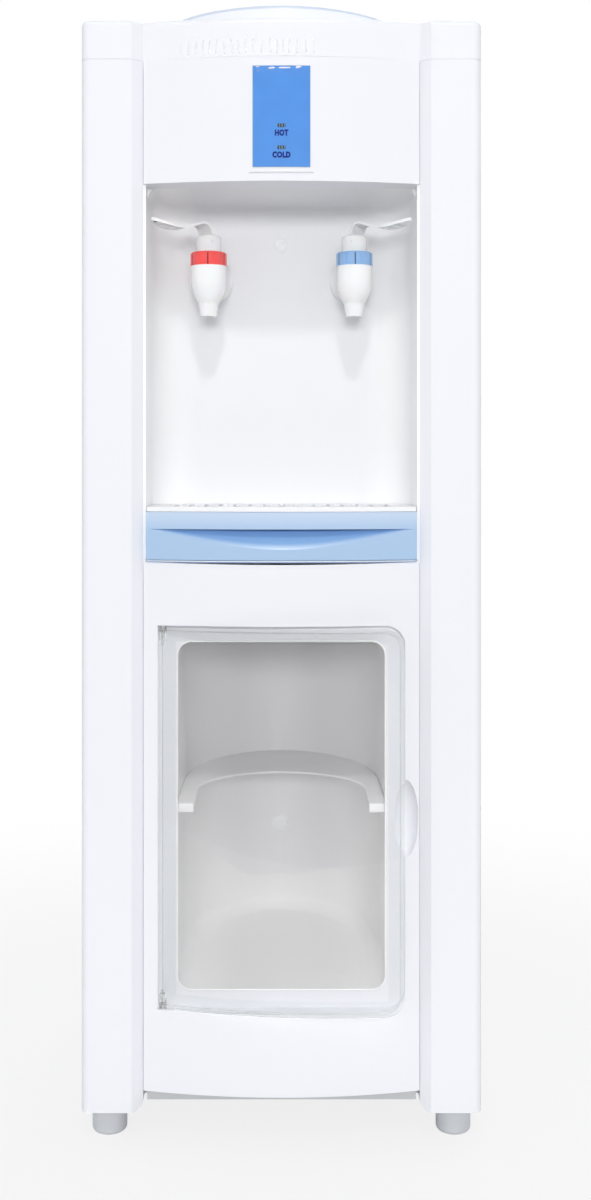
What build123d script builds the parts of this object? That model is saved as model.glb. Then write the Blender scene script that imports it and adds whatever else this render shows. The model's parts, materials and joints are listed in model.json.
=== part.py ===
from build123d import *
import math
import os

# A free-standing water dispenser, in millimetres. X runs to the right seen from the front, Y to the
# back and Z up. While it is modelled, Y is counted from the flat front of the side columns and Z from
# the floor. save() shifts every piece along Y to put the origin under the middle of the whole box.

# Whole casing
body_width = 340
body_depth = 322
casing_wall = 2.5
cut_overrun = 30
seat_gap = 0.3
face_gap = 0.1

# Heights, stacked from the floor
base_clearance = 34
column_clearance = 27
panel_clearance = 44
lower_panel_height = 450
niche_height = 321.1
upper_panel_height = 104.6
cover_height = 34

# Side columns: flat front face, slanted strip, return behind the panels, flange round the back
column_face = 43
strip_width = 9
strip_drop = 7
column_corner = 7
column_return = 16
column_foot_radius = 8
rear_flange = 24

# Bowed front panels between the columns
panel_groove = 0.5
bow_end_setback = 5
bow_rise = 14
panel_thickness = 2.5
panel_return_depth = 20
panel_lip_depth = 6
panel_top_dip = 2

# Top cover
cover_edge_radius = 5
cover_seam_height = 0.5
cover_seam_depth = 0.6

# Collar that carries the bottle, and the water separator that lifts out of it
collar_offset = 4
collar_radius = 123.6
collar_height = 26
collar_rim = 7
collar_edge_radius = 3
collar_skirt_radius = 119.1
collar_skirt_drop = 8
collar_wall = 3
collar_ledge_drop = 24
collar_ledge_radius = 48
collar_bore_radius = 36.3
separator_flange_radius = 43
separator_cup_radius = 34
separator_cup_depth = 20
separator_wall = 2.2
spout_radius = 14
spout_length = 38
probe_radius = 9.5
probe_height = 42
probe_bore_radius = 6.5
probe_hole_radius = 2.5
probe_hole_count = 4

# Niche for the cups
niche_corner = 46
niche_ceiling_radius = 9
liner_wall = 2.3
liner_front = 7.8
ceiling_front = 24.8
gate_mark_radius = 6.3
gate_mark_drop = 34.5
gate_mark_height = 0.4

# Indicator plate on the upper panel
plate_width = 54.6
plate_height = 91.5
plate_top_margin = 6
plate_thickness = 1.5
sheet_width = 48.6
sheet_height = 85.3
sheet_top_margin = 2.2
sheet_thickness = 0.4
lens_width = 6.8
lens_height = 3
lens_proud = 0.2
lens_drops = (52.5, 71)
board_width = 46
board_height = 62
board_thickness = 1.6
board_setback = 11
board_post_radius = 2.5
board_post_inset = 5

# Taps
tap_wall_gap = 50.5
tap_reach = 48
tap_drop = 70.4
tap_pad_radius = 20
tap_pad_proud = 3.7
tap_pad_rear = 1
tap_pad_rear_radius = 16
tap_flange_radius = 19.7
tap_flange_thickness = 3
tap_neck_clearance = 0.5
tap_body_radius = 15.9
tap_body_top = 9
tap_throat_radius = 12.9
tap_throat_height = 7
tap_nozzle_length = 12
tap_nozzle_radius = 9.4
tap_tip_radius = 7.4
tap_belly_height = 24
tap_bore_radius = 10.5
tap_bore_depth = 18
tap_nozzle_bore = 4.6
tap_inlet_bore = 2.8
spigot_radius = 8
spigot_tail = 20
barb_radius = 4
barb_length = 14
spigot_clearance = 0.3
nut_flats = 24
nut_thickness = 7
gasket_radius = 13
gasket_thickness = 1.5
ring_radius = 16.25
ring_height = 12
ring_edge = 1.2
ring_lip = 2.5
ring_groove_width = 1.2
ring_groove_depth = 0.7
ring_groove_count = 8
ring_groove_turn = 6
cap_radius = 11.25
cap_height = 17.5
cap_edge_radius = 2.5
cap_flange_radius = 12.7
cap_flange_height = 2.4
cap_floor = 5
cap_slot_half_width = 6.4
cap_slot_rear = 6
cap_slot_front = 8

# Tap levers: a bent blade that points outwards and towards the user
lever_turn = 42
lever_length = 63
lever_width = 18
lever_thickness = 2.5
lever_travel = 20
lever_tip_length = 24
lever_height = 7.4
lever_root_width = 12.2
lever_hump_share = (0.1, 0.31)
lever_run_share = (0.38, 0.05)
lever_sag_share = (0.8, -0.12)
lever_tip_share = (1, 0.3)
lever_shoulder_share = (0.42, 0.875)
pivot_offset = 4.5
pivot_drop = 6
pivot_boss_radius = 2.6
pivot_pin_radius = 1.2
pivot_clearance = 0.05
pivot_pin_setback = 1.25
fork_end_radius = 1.3
stem_radius = 1.5
stem_clearance = 0.05
stem_slot_clearance = 0.4
stem_head_radius = 3.4
stem_head_height = 2
seal_radius = 7
seal_height = 3
spring_radius = 4.5
spring_wall = 2

# Drip tray and its grille
tray_side_gap = 1
tray_wall = 2.2
tray_height = 41.9
fascia_drop = 1.4
fascia_gap = 0.5
fascia_proud = 1.75
fascia_thickness = 16.5
tray_front_setback = 4
lip_height = 27.4
scoop_height = 17
scoop_depth = 12.75
scoop_radius = 60
grille_thickness = 3.9
grille_setback = 1.2
grille_slot_width = 6
grille_slot_pitch = 13
grille_slot_margin = 16
grille_slot_count = 15

# Cabinet door, pocket and opening in the lower panel
door_side_margin = 13.5
door_height = 324
door_clearance_below = 71
door_thickness = 2.5
door_corner = 16
door_pocket_gap = 1
door_ajar = 5.5
door_knuckle_radius = 3
door_knuckle_height = 12
door_hinge_inset = 3.5
door_hinge_depth = 2.83
hinge_pin_radius = 1.5
hinge_pin_clearance = 0.06
hinge_pin_length = 8
hinge_pin_reach = 2.2
pocket_clearance = 1
opening_side_margin = 15.4
opening_height = 297
opening_rise = 14
opening_corner = 12
grip_width = 22
grip_height = 65
grip_depth = 12
grip_rise = 161
grip_edge_gap = 0.9
grip_backing = 2.5

# Cabinet liner and its crescent shelf
cabinet_side_gap = 1.2
cabinet_floor_drop = 2
cabinet_ceiling_rise = 4
cabinet_depth = 247
cabinet_straight = 110
cabinet_edge_radius = 15
liner_flange = 8
shelf_rise = 159
shelf_thickness = 8
shelf_front = 15
shelf_arm = 14.8
shelf_cut_depth = 71
shelf_web = 2.5

# Base pan and feet
pan_rim = 24
pan_apron_setback = 10.5
foot_radius = 15
foot_inset_x = 21
foot_inset_y = 30.5
foot_edge_radius = 4

# Back panel
back_sheet = 1.2
screw_radius = 1.9
screw_head_radius = 3.6
screw_head_height = 2
screw_length = 9
screw_inset = 18
screw_margin = 46
screw_rows = 3
vent_width = 5
vent_length = 60
vent_pitch = 11
vent_count = 7
low_vent_rise = 170

# Cold side: tank in foam, thermoelectric module, heat sink and fan
tank_radius = 55
tank_height = 124
tank_wall = 1.5
tank_drop = 18
lid_thickness = 3
socket_wall = 2.5
socket_clearance = 0.3
socket_depth = 12
foam_front = 22.7
foam_side = 19
foam_floor = 15
module_size = 40
module_thickness = 4
block_reach = 12
sink_size = 100
sink_base = 5
fin_depth = 22.3
fin_thickness = 2
fin_count = 13
fan_size = 92
fan_depth = 25
fan_bore_radius = 43
fan_hub_radius = 17
fan_blade_gap = 1
fan_blade_count = 7
fan_blade_thickness = 1.6
fan_blade_pitch = 35
fan_spoke_count = 3
fan_spoke_width = 6
fan_spoke_depth = 4
fan_shaft_radius = 2
fan_shaft_clearance = 0.05
nipple_radius = 4
nipple_bore = 2.8
nipple_length = 16
outlet_tap_offset = 35.2
feed_offset = 33

# Hot side
hot_tank_offset = 30
hot_tank_radius = 50
hot_tank_height = 125
hot_tank_rise = 20.7
hot_outlet_offset = 37.2
heater_width = 30
heater_thickness = 3
heater_rise = 30
heater_box = 16
thermostat_radius = 8
thermostat_height = 7
thermostat_rise = 95
thermostat_turn = 34

# Brackets, hoses, electrics and drain
bracket_sheet = 2
bracket_margin = 20
bracket_flange = 28
bracket_front_gap = 20
bracket_hole_radius = 8
hose_radius = 6
hose_bend = 13
hose_drop = 22
power_board_inset = 58
power_board_width = 70
power_board_height = 110
power_board_thickness = 1.6
power_board_standoff = 10
standoff_radius = 3
transformer_size = 34
transformer_height = 26
power_board_rise = 60
switch_inset = 58
switch_pitch = 34
switch_rise = 210
switch_width = 13
switch_height = 19
switch_depth = 16
switch_flange = 1.6
switch_rim = 1.5
switch_cavity_wall = 1.4
rocker_radius = 7.6
rocker_side_gap = 0.2
rocker_tilt = 8
rocker_axle_radius = 1.2
rocker_axle_clearance = 0.05
rocker_axle_reach = 1
gland_inset = 58
gland_rise = 76
gland_radius = 8
gland_flange_radius = 11
gland_flange_height = 3
gland_bore = 4
gland_depth = 12
gland_nut_radius = 12
gland_nut_height = 5
drain_radius = 8
drain_bore = 4
drain_flange_radius = 12
drain_flange_height = 2
drain_reach = 6
drain_drop = 42
drain_pipe_radius = 5
drain_bend = 15
drain_cap_wall = 2.2
drain_cap_gap = 0.3

# Places worked out from the sizes above
half_width = body_width / 2
column_flat_x = half_width - column_face
column_inner_x = column_flat_x - strip_width
panel_half = column_inner_x - panel_groove
bow_radius = (panel_half**2 + bow_rise**2) / (2 * bow_rise)
bow_front_y = bow_end_setback - bow_rise
bow_centre_y = bow_front_y + bow_radius
lower_top_z = panel_clearance + lower_panel_height
niche_floor_z = lower_top_z + seat_gap
niche_top_z = niche_floor_z + niche_height
shoulder_z = niche_top_z + upper_panel_height
cover_top_z = shoulder_z + cover_height
niche_half = column_inner_x - liner_wall
sheet_outset = plate_thickness + face_gap + sheet_thickness
back_outer_y = body_depth - casing_wall
back_inner_y = back_outer_y - back_sheet
fan_front_y = back_inner_y - fan_depth
sink_y = fan_front_y - fin_depth - sink_base
module_front_y = sink_y - module_thickness
tank_y = module_front_y - block_reach - tank_radius
feed_y = tank_y + feed_offset
hot_tank_y = tank_y + hot_tank_offset
niche_outer_y = tank_y - tank_radius - foam_front
niche_back = niche_outer_y - liner_wall
tap_depth = niche_back - tap_reach
collar_y = body_depth / 2 + collar_offset
door_bottom_z = panel_clearance + door_clearance_below
door_top_z = door_bottom_z + door_height
door_half = panel_half - door_side_margin
door_hinge_x = door_hinge_inset - door_half
door_hinge_y = bow_centre_y - math.sqrt(bow_radius**2 - door_hinge_x**2) + door_hinge_depth
pocket_floor = door_hinge_y + door_knuckle_radius + pocket_clearance
opening_half = door_half - opening_side_margin
opening_bottom_z = door_bottom_z + opening_rise
opening_top_z = opening_bottom_z + opening_height
cabinet_half = opening_half + cabinet_side_gap
cabinet_bottom_z = opening_bottom_z - cabinet_floor_drop
cabinet_top_z = opening_top_z + cabinet_ceiling_rise
cabinet_front_y = pocket_floor + panel_thickness
shelf_top_z = cabinet_bottom_z + shelf_rise
shelf_cut_radius = cabinet_half - shelf_arm
grip_x = panel_half - grip_edge_gap - grip_width / 2
grip_z = door_bottom_z + grip_rise
tap_x = niche_half - tap_wall_gap
outlet_x = tap_x - outlet_tap_offset
hot_outlet_x = tap_x - hot_outlet_offset
tap_axis_z = niche_top_z - tap_drop
tap_top_z = tap_axis_z + tap_body_top
tap_rim_z = tap_top_z + tap_throat_height
tap_neck_radius = tap_body_top - tap_neck_clearance
cap_top_z = tap_rim_z + cap_flange_height + cap_height
pivot_z = cap_top_z - pivot_drop
tap_belly_z = tap_axis_z - tap_belly_height
tap_nozzle_z = tap_belly_z - tap_nozzle_length
tap_seat_z = tap_axis_z - tap_bore_depth
tap_flange_y = niche_back - tap_pad_proud
gasket_y = niche_outer_y + tap_pad_rear
nut_y = gasket_y + gasket_thickness
spigot_end_y = niche_outer_y + spigot_tail
stem_lift = pivot_offset * math.radians(lever_travel)
tray_bottom_z = niche_floor_z + seat_gap
tray_half = niche_half - tray_side_gap
tray_back_y = niche_back - tray_side_gap
fascia_bottom_z = tray_bottom_z + fascia_drop
tray_top_z = tray_bottom_z + tray_height
lip_z = tray_bottom_z + lip_height
grille_z = tray_top_z + seat_gap
collar_ledge_z = cover_top_z - collar_ledge_drop
separator_z = collar_ledge_z + seat_gap
cup_bottom_z = separator_z - separator_cup_depth
lid_top_z = shoulder_z - tank_drop + lid_thickness
tank_top_z = shoulder_z - tank_drop
tank_bottom_z = tank_top_z - tank_height
foam_bottom_z = tank_bottom_z - foam_floor
cold_z = (tank_top_z + tank_bottom_z) / 2
hot_bottom_z = lower_top_z + hot_tank_rise
hot_top_z = hot_bottom_z + hot_tank_height
drain_z = hot_bottom_z - drain_drop
rear_reach_y = back_outer_y + drain_flange_height + drain_reach + drain_cap_gap + drain_cap_wall
ajar_centre_y = (bow_centre_y - door_hinge_y) * math.cos(math.radians(door_ajar))
ajar_swing_y = door_hinge_x * math.sin(math.radians(door_ajar))
switch_x = half_width - switch_inset
gland_x = half_width - gland_inset
front_reach_y = door_hinge_y + ajar_centre_y + ajar_swing_y - bow_radius
origin_shift_y = -(front_reach_y + rear_reach_y) / 2


def save(shape, name):
    """Write one piece, moved to the frame's origin."""
    export_step(shape.moved(Location((0, origin_shift_y, 0))), f"parts/{name}.step")


def block(x0, x1, y0, y1, z0, z1):
    """A box between six planes."""
    return Pos((x0 + x1) / 2, (y0 + y1) / 2, (z0 + z1) / 2) * Box(x1 - x0, y1 - y0, z1 - z0)


def upright(x, y, z0, z1, radius):
    """A cylinder that stands on z0 and ends at z1."""
    return Pos(x, y, (z0 + z1) / 2) * Cylinder(radius, z1 - z0)


def along_y(x, z, y0, y1, radius):
    """A cylinder that lies along Y."""
    return Pos(x, (y0 + y1) / 2, z) * Rot(90, 0, 0) * Cylinder(radius, y1 - y0)


def along_x(y, z, x0, x1, radius):
    """A cylinder that lies along X."""
    return Pos((x0 + x1) / 2, y, z) * Rot(0, 90, 0) * Cylinder(radius, x1 - x0)


def prism(face, z0, z1):
    """A plan outline raised from z0 to z1."""
    return extrude(Pos(0, 0, z0) * face, amount=z1 - z0, dir=(0, 0, 1))


def turned(points, x, y):
    """A solid of revolution about an upright axis, from a half section of (radius, height) points."""
    section = make_face(Polyline(*[(r, 0, z) for r, z in points], close=True))
    return Pos(x, y, 0) * revolve(section, axis=Axis.Z)


def corner(face, x, y):
    """The corner of a plan outline that lies nearest a point."""
    return face.vertices().sort_by_distance((x, y, 0))[0]


def bow_cylinder(outset, z0, z1):
    """The round body whose front is the bowed front surface, moved outwards by outset."""
    return upright(0, bow_centre_y, z0, z1, bow_radius + outset)


def bow_sheet(half, z0, z1, outset, thickness):
    """A bowed sheet that follows the front surface; its outer face stands outset before it."""
    slab = block(-half, half, bow_front_y - cut_overrun, bow_end_setback + cut_overrun, z0, z1)
    return (slab & bow_cylinder(outset, z0, z1)) - bow_cylinder(outset - thickness, z0, z1)


def bow_y(x):
    """Where the bowed front surface lies at x."""
    return bow_centre_y - math.sqrt(bow_radius**2 - x**2)


def u_plan(half, front, back, radius):
    """A plan outline with a straight front and two rounded rear corners."""
    face = Pos(0, (front + back) / 2) * Rectangle(2 * half, back - front)
    return fillet(face.vertices().sort_by(Axis.Y)[-2:], radius)


# Casing

def column_plan():
    """The left column's plan: one bent wall from the return behind the panels to the rear flange."""
    strip_angle = math.atan2(strip_drop, strip_width)
    flat_offset = casing_wall * math.tan(strip_angle / 2)
    return_offset = casing_wall * math.tan((math.pi / 2 - strip_angle) / 2)
    return_y = strip_drop + column_return
    outer = [
        (-column_inner_x, return_y),
        (-column_inner_x, strip_drop),
        (-column_flat_x, 0),
        (-half_width, 0),
        (-half_width, body_depth),
        (-half_width + rear_flange, body_depth),
    ]
    inner = [
        (-half_width + rear_flange, back_outer_y),
        (-half_width + casing_wall, back_outer_y),
        (-half_width + casing_wall, casing_wall),
        (-column_flat_x - flat_offset, casing_wall),
        (-column_inner_x - casing_wall, strip_drop + return_offset),
        (-column_inner_x - casing_wall, return_y),
    ]
    face = make_face(Polyline(*outer, *inner, close=True))
    for y in (0, body_depth):
        face = fillet(corner(face, -half_width, y), column_corner)
    for y in (casing_wall, back_outer_y):
        face = fillet(corner(face, -half_width + casing_wall, y), column_corner - casing_wall)
    return face


def side_column():
    """The left column, with the inner corner of its foot rounded."""
    shape = prism(column_plan(), column_clearance, shoulder_z)
    round_z = column_clearance + column_foot_radius
    round_x = -column_inner_x - column_foot_radius
    back = strip_drop + column_return + face_gap
    edge_x = face_gap - column_inner_x
    waste = block(round_x, edge_x, -cut_overrun, back, column_clearance - face_gap, round_z)
    shape -= waste - along_y(round_x, round_z, -cut_overrun, back, column_foot_radius)
    for z in screw_heights():
        shape -= along_y(screw_inset - half_width, z, back_outer_y, body_depth, screw_radius)
    return shape


def screw_heights():
    """The heights of the screw rows on the back."""
    low = column_clearance + screw_margin
    high = shoulder_z - screw_margin
    return [low + (high - low) * row / (screw_rows - 1) for row in range(screw_rows)]


def casing_plan(inset):
    """The plan of the whole casing: columns, slanted strips and bowed front, drawn in by inset."""
    side = half_width - inset
    flat = column_flat_x + inset / 2
    inner = column_inner_x + inset / 2
    back = body_depth - inset
    front = Polyline((-inner, strip_drop + inset), (-flat, inset), (-side, inset), (-side, back))
    rear = Polyline((-side, back), (side, back), (side, inset), (flat, inset))
    strip = Line((flat, inset), (inner, strip_drop + inset))
    bow = ThreePointArc((inner, strip_drop + inset), (0, bow_front_y + inset), (-inner, strip_drop + inset))
    face = make_face([*front.edges(), *rear.edges(), strip, bow])
    for x in (-side, side):
        for y in (inset, back):
            face = fillet(corner(face, x, y), column_corner - inset)
    return face


def top_cover():
    """The cover: a shallow box turned over, with a hole that the collar's skirt enters."""
    shell = prism(casing_plan(0), shoulder_z, cover_top_z)
    shell = fillet(shell.faces().sort_by(Axis.Z)[-1].edges(), cover_edge_radius)
    shell -= prism(casing_plan(casing_wall), shoulder_z, cover_top_z - casing_wall)
    seam_top = shoulder_z + cover_seam_height
    seam = block(-body_width, body_width, -body_depth, 2 * body_depth, shoulder_z - cut_overrun, seam_top)
    shell -= seam - prism(casing_plan(cover_seam_depth), shoulder_z - 2 * cut_overrun, seam_top)
    hole_radius = collar_skirt_radius + seat_gap
    return shell - upright(0, collar_y, shoulder_z, cover_top_z + cut_overrun, hole_radius)


def panel_returns(z0, z1):
    """The two side walls behind a bowed panel, each with a lip that bears on the column's return."""
    inner = panel_half - panel_thickness
    shape = None
    for side in (-1, 1):
        wall_x = sorted((side * inner, side * panel_half))
        wall = block(*wall_x, bow_front_y, panel_return_depth, z0, z1)
        lip_x = sorted((side * inner, side * column_inner_x))
        lip = block(*lip_x, panel_return_depth - panel_lip_depth, panel_return_depth, z0, z1)
        shape = wall + lip if shape is None else shape + wall + lip
    return shape & bow_cylinder(0, z0, z1)


def lens_places():
    """The heights of the two indicator windows."""
    plate_top_z = shoulder_z - plate_top_margin
    return [plate_top_z - drop for drop in lens_drops]


def window(z, clearance):
    """The space of one indicator window, right through the panel."""
    half_x = lens_width / 2 + clearance
    half_z = lens_height / 2 + clearance
    return block(-half_x, half_x, bow_front_y - cut_overrun, board_y(), z - half_z, z + half_z)


def board_y():
    """The front of the indicator board."""
    return bow_front_y + board_setback


def board_middle_z():
    """The height of the middle of the indicator board."""
    heights = lens_places()
    return sum(heights) / len(heights)


def upper_front_panel():
    """The bowed panel over the niche, with its return, side walls and the board's posts."""
    shape = bow_sheet(panel_half, niche_top_z, shoulder_z, 0, panel_thickness)
    floor_top = niche_top_z + panel_thickness
    floor = block(-panel_half, panel_half, bow_front_y, ceiling_front, niche_top_z, floor_top)
    shape += floor & bow_cylinder(0, niche_top_z, shoulder_z)
    shape += panel_returns(niche_top_z, shoulder_z)
    reach_x = board_width / 2 - board_post_inset
    reach_z = board_height / 2 - board_post_inset
    for x in (-reach_x, reach_x):
        for z in (board_middle_z() - reach_z, board_middle_z() + reach_z):
            post_front = bow_y(x) + panel_thickness / 2
            shape += along_y(x, z, post_front, board_y(), board_post_radius)
    for z in lens_places():
        shape -= window(z, face_gap)
    return shape


def grip_block(gap):
    """The solid behind the finger grip, widened by gap."""
    half_z = grip_height / 2 + grip_backing + gap
    left = grip_x - grip_width / 2 - gap
    back = bow_y(grip_x) + grip_depth + grip_backing + gap
    return block(left, panel_half, bow_front_y, back, grip_z - half_z, grip_z + half_z)


def lower_front_panel():
    """The bowed lower panel, with the door's pocket, the cabinet opening and the finger grip."""
    shape = bow_sheet(panel_half, panel_clearance, lower_top_z, 0, panel_thickness)
    shape += panel_returns(panel_clearance, niche_floor_z - liner_wall)
    dip_radius = (panel_half**2 + panel_top_dip**2) / (2 * panel_top_dip)
    dip_z = lower_top_z - panel_top_dip + dip_radius
    shape -= along_y(0, dip_z, bow_front_y - cut_overrun, panel_return_depth + cut_overrun, dip_radius)
    pocket = door_prism(door_pocket_gap + panel_thickness, bow_front_y - cut_overrun, cabinet_front_y)
    shape += pocket & bow_cylinder(0, panel_clearance, lower_top_z)
    shape += grip_block(0) & bow_cylinder(0, panel_clearance, lower_top_z)
    shape -= door_prism(door_pocket_gap, bow_front_y - cut_overrun, pocket_floor)
    shape -= opening_prism(0)
    shape -= Pos(grip_x, bow_y(grip_x), grip_z) * scale(
        Sphere(grip_width / 2), by=(1, 2 * grip_depth / grip_width, grip_height / grip_width)
    )
    for z0, z1 in hinge_pin_spans():
        shape -= upright(door_hinge_x, door_hinge_y, z0, z1, hinge_pin_radius + hinge_pin_clearance)
    return shape


def rounded_prism(x0, x1, z0, z1, left_radius, right_radius, y0, y1):
    """A rounded oblong in the front view, run from y0 back to y1."""
    shape = block(x0, x1, y0, y1, z0, z1)
    edges = shape.edges().filter_by(Axis.Y).sort_by(Axis.X)
    if left_radius > 0:
        shape = fillet(edges[:2], left_radius)
        edges = shape.edges().filter_by(Axis.Y).sort_by(Axis.X)
    return fillet(edges[-2:], right_radius)


def door_prism(gap, y0, y1):
    """The door's outline, widened by gap all round: sharp corners at the hinge, round ones opposite."""
    return rounded_prism(
        -door_half - gap, door_half + gap, door_bottom_z - gap, door_top_z + gap, 0, door_corner + gap, y0, y1
    )


def opening_prism(gap):
    """The cabinet opening, right through the panel and the liner's flange."""
    half = opening_half + gap
    radius = opening_corner + gap
    y0 = bow_front_y - cut_overrun
    y1 = cabinet_front_y + casing_wall + face_gap
    return rounded_prism(
        -half, half, opening_bottom_z - gap, opening_top_z + gap, radius, radius, y0, y1
    )


def niche_liner():
    """The niche: two side walls, a rounded back, a ceiling, a floor and the two tap pads."""
    outer_half = niche_half + liner_wall
    outer_back = niche_back + liner_wall
    outer = u_plan(outer_half, liner_front, outer_back, niche_corner + liner_wall)
    shape = prism(outer, niche_floor_z - liner_wall, niche_top_z + liner_wall)
    pad_back = outer_back + tap_pad_rear
    for x in (-tap_x, tap_x):
        shape += along_y(x, tap_axis_z, niche_back - niche_corner / 2, outer_back, tap_pad_radius)
        shape += along_y(x, tap_axis_z, niche_back, pad_back, tap_pad_rear_radius)
    inner = u_plan(niche_half, liner_front - cut_overrun, niche_back, niche_corner)
    cavity = prism(inner, niche_floor_z, niche_top_z)
    rounded = [e for e in cavity.faces().sort_by(Axis.Z)[-1].edges() if e.center().Y > liner_front]
    cavity = fillet(rounded, niche_ceiling_radius)
    for x in (-tap_x, tap_x):
        cavity -= along_y(x, tap_axis_z, niche_back - tap_pad_proud, outer_back, tap_pad_radius)
    mark_z = niche_top_z - gate_mark_drop
    cavity -= along_y(0, mark_z, niche_back - gate_mark_height, outer_back, gate_mark_radius)
    shape -= cavity
    rounding_z = niche_top_z - niche_ceiling_radius
    front_top = block(-outer_half, outer_half, 0, ceiling_front, rounding_z, niche_top_z)
    front_top &= block(-niche_half, niche_half, 0, ceiling_front, 0, niche_top_z)
    shape -= front_top
    shape -= block(-outer_half, outer_half, 0, ceiling_front, niche_top_z, niche_top_z + cut_overrun)
    for x in (-tap_x, tap_x):
        hole_radius = spigot_radius + spigot_clearance
        shape -= along_y(x, tap_axis_z, niche_back - niche_corner, pad_back, hole_radius)
    return shape


def cabinet_plan(outset):
    """The cabinet's plan: straight sides, then half an ellipse."""
    half = cabinet_half + outset
    reach = cabinet_depth - cabinet_straight + outset
    ellipse = Pos(0, cabinet_straight) * Ellipse(half, reach)
    front = -cut_overrun
    box = Pos(0, (front + cabinet_straight) / 2) * Rectangle(2 * half, cabinet_straight - front)
    back = Pos(0, cabinet_straight + reach / 2) * Rectangle(2 * half, reach)
    return box + (ellipse & back)


def cabinet_tub(outset, front):
    """The cabinet's inner space, or its outer skin where outset is the wall."""
    tub = prism(cabinet_plan(outset), cabinet_bottom_z - outset, cabinet_top_z + outset)
    ends = tub.faces().sort_by(Axis.Z)
    edges = [e for e in [*ends[0].edges(), *ends[-1].edges()] if e.center().Y > 0]
    tub = fillet(edges, cabinet_edge_radius + outset)
    keep = block(
        -half_width, half_width, front, body_depth, cabinet_bottom_z - outset, cabinet_top_z + outset
    )
    return tub & keep


def cabinet_liner():
    """The moulded tub behind the door, with a flange against the panel."""
    shape = cabinet_tub(casing_wall, cabinet_front_y)
    half = opening_half + liner_flange
    flange = block(
        -half, half, cabinet_front_y, cabinet_front_y + casing_wall,
        opening_bottom_z - liner_flange, opening_top_z + liner_flange,
    )
    shape += flange - grip_block(seat_gap)
    shape -= cabinet_tub(0, cabinet_front_y + casing_wall)
    return shape - opening_prism(0)


def cabinet_shelf():
    """The crescent shelf across the cabinet: a thin web between two thicker arms."""
    shape = prism(cabinet_plan(0), shelf_top_z - shelf_thickness, shelf_top_z)
    half = cabinet_half
    shape &= block(-half, half, shelf_front, body_depth, shelf_top_z - shelf_thickness, shelf_top_z)
    z0 = shelf_top_z - shelf_thickness - face_gap
    z1 = shelf_top_z + face_gap
    web_z = shelf_top_z - shelf_web
    shape -= block(-half, half, shelf_cut_depth, body_depth, z0, web_z)
    shape -= block(-shelf_cut_radius, shelf_cut_radius, 0, shelf_cut_depth, z0, z1)
    return shape - upright(0, shelf_cut_depth, z0, z1, shelf_cut_radius)


def base_pan():
    """The pan that carries the feet: a floor, a rim and an apron between the columns."""
    half = half_width - casing_wall
    inner_front = strip_drop + column_return
    floor_z = base_clearance
    rim_z = base_clearance + pan_rim
    apron_half = panel_half - panel_thickness
    shape = block(-half, half, inner_front, back_inner_y, floor_z, rim_z)
    rear_edges = shape.edges().filter_by(Axis.Z).group_by(Axis.Y)[-1]
    shape = fillet(rear_edges, column_corner - casing_wall)
    shape += block(-apron_half, apron_half, pan_apron_setback, inner_front + casing_wall, floor_z, rim_z)
    hollow = block(
        -half + casing_wall, half - casing_wall, inner_front + casing_wall,
        back_inner_y - casing_wall, floor_z + casing_wall, rim_z + face_gap,
    )
    hollow += block(
        casing_wall - apron_half, apron_half - casing_wall, pan_apron_setback + casing_wall,
        inner_front + 2 * casing_wall, floor_z + casing_wall, rim_z + face_gap,
    )
    return shape - hollow


def foot_places():
    """The plan positions of the four feet."""
    x = half_width - foot_inset_x
    return [(side * x, y) for side in (-1, 1) for y in (foot_inset_y, body_depth - foot_inset_y)]


def feet():
    """Four round feet."""
    group = []
    for x, y in foot_places():
        foot = upright(x, y, 0, base_clearance, foot_radius)
        group.append(fillet(foot.edges().sort_by(Axis.Z)[0], foot_edge_radius))
    return Compound(group)


def back_panel():
    """The sheet on the back, with vents for the fan, low vents and holes for what passes through."""
    half = half_width - column_corner
    shape = block(-half, half, back_inner_y, back_outer_y, base_clearance, shoulder_z)
    for z_middle in (cold_z, base_clearance + low_vent_rise):
        for index in range(vent_count):
            z = z_middle + (index - (vent_count - 1) / 2) * vent_pitch
            shape -= slot_through(vent_length, vent_width, z)
    for side in (-1, 1):
        for z in screw_heights():
            x = side * (half_width - screw_inset)
            shape -= along_y(x, z, back_inner_y, back_outer_y, screw_radius)
    for z in switch_heights():
        shape -= block(
            switch_x - switch_width / 2, switch_x + switch_width / 2, back_inner_y, back_outer_y,
            z - switch_height / 2, z + switch_height / 2,
        )
    shape -= along_y(-gland_x, base_clearance + gland_rise, back_inner_y, back_outer_y, gland_radius)
    return shape - along_y(0, drain_z, back_inner_y, back_outer_y, drain_radius)


def slot_through(length, width, z):
    """One round-ended vent through the back sheet."""
    half = (length - width) / 2
    shape = block(-half, half, back_inner_y, back_outer_y, z - width / 2, z + width / 2)
    for x in (-half, half):
        shape += along_y(x, z, back_inner_y, back_outer_y, width / 2)
    return shape


def back_panel_screws():
    """The screws that hold the back sheet to the column flanges."""
    group = []
    for side in (-1, 1):
        for z in screw_heights():
            x = side * (half_width - screw_inset)
            shank = along_y(x, z, body_depth - screw_length, body_depth, screw_radius)
            head = along_y(x, z, body_depth, body_depth + screw_head_height, screw_head_radius)
            group.append(shank + head)
    return Compound(group)


# Indicator

def indicator_plate():
    """The white plate that follows the bow."""
    top = shoulder_z - plate_top_margin
    shape = bow_sheet(plate_width / 2, top - plate_height, top, plate_thickness, plate_thickness)
    for z in lens_places():
        shape -= window(z, face_gap)
    return shape


def indicator_sheet():
    """The coloured sheet on the plate."""
    top = shoulder_z - plate_top_margin - sheet_top_margin
    shape = bow_sheet(sheet_width / 2, top - sheet_height, top, sheet_outset, sheet_thickness)
    for z in lens_places():
        shape -= window(z, face_gap)
    return shape


def indicator_lenses():
    """The two light pipes, from the front of the sheet back to the board."""
    front = bow_cylinder(sheet_outset + lens_proud, niche_top_z, shoulder_z)
    return Compound([window(z, 0) & front for z in lens_places()])


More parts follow.
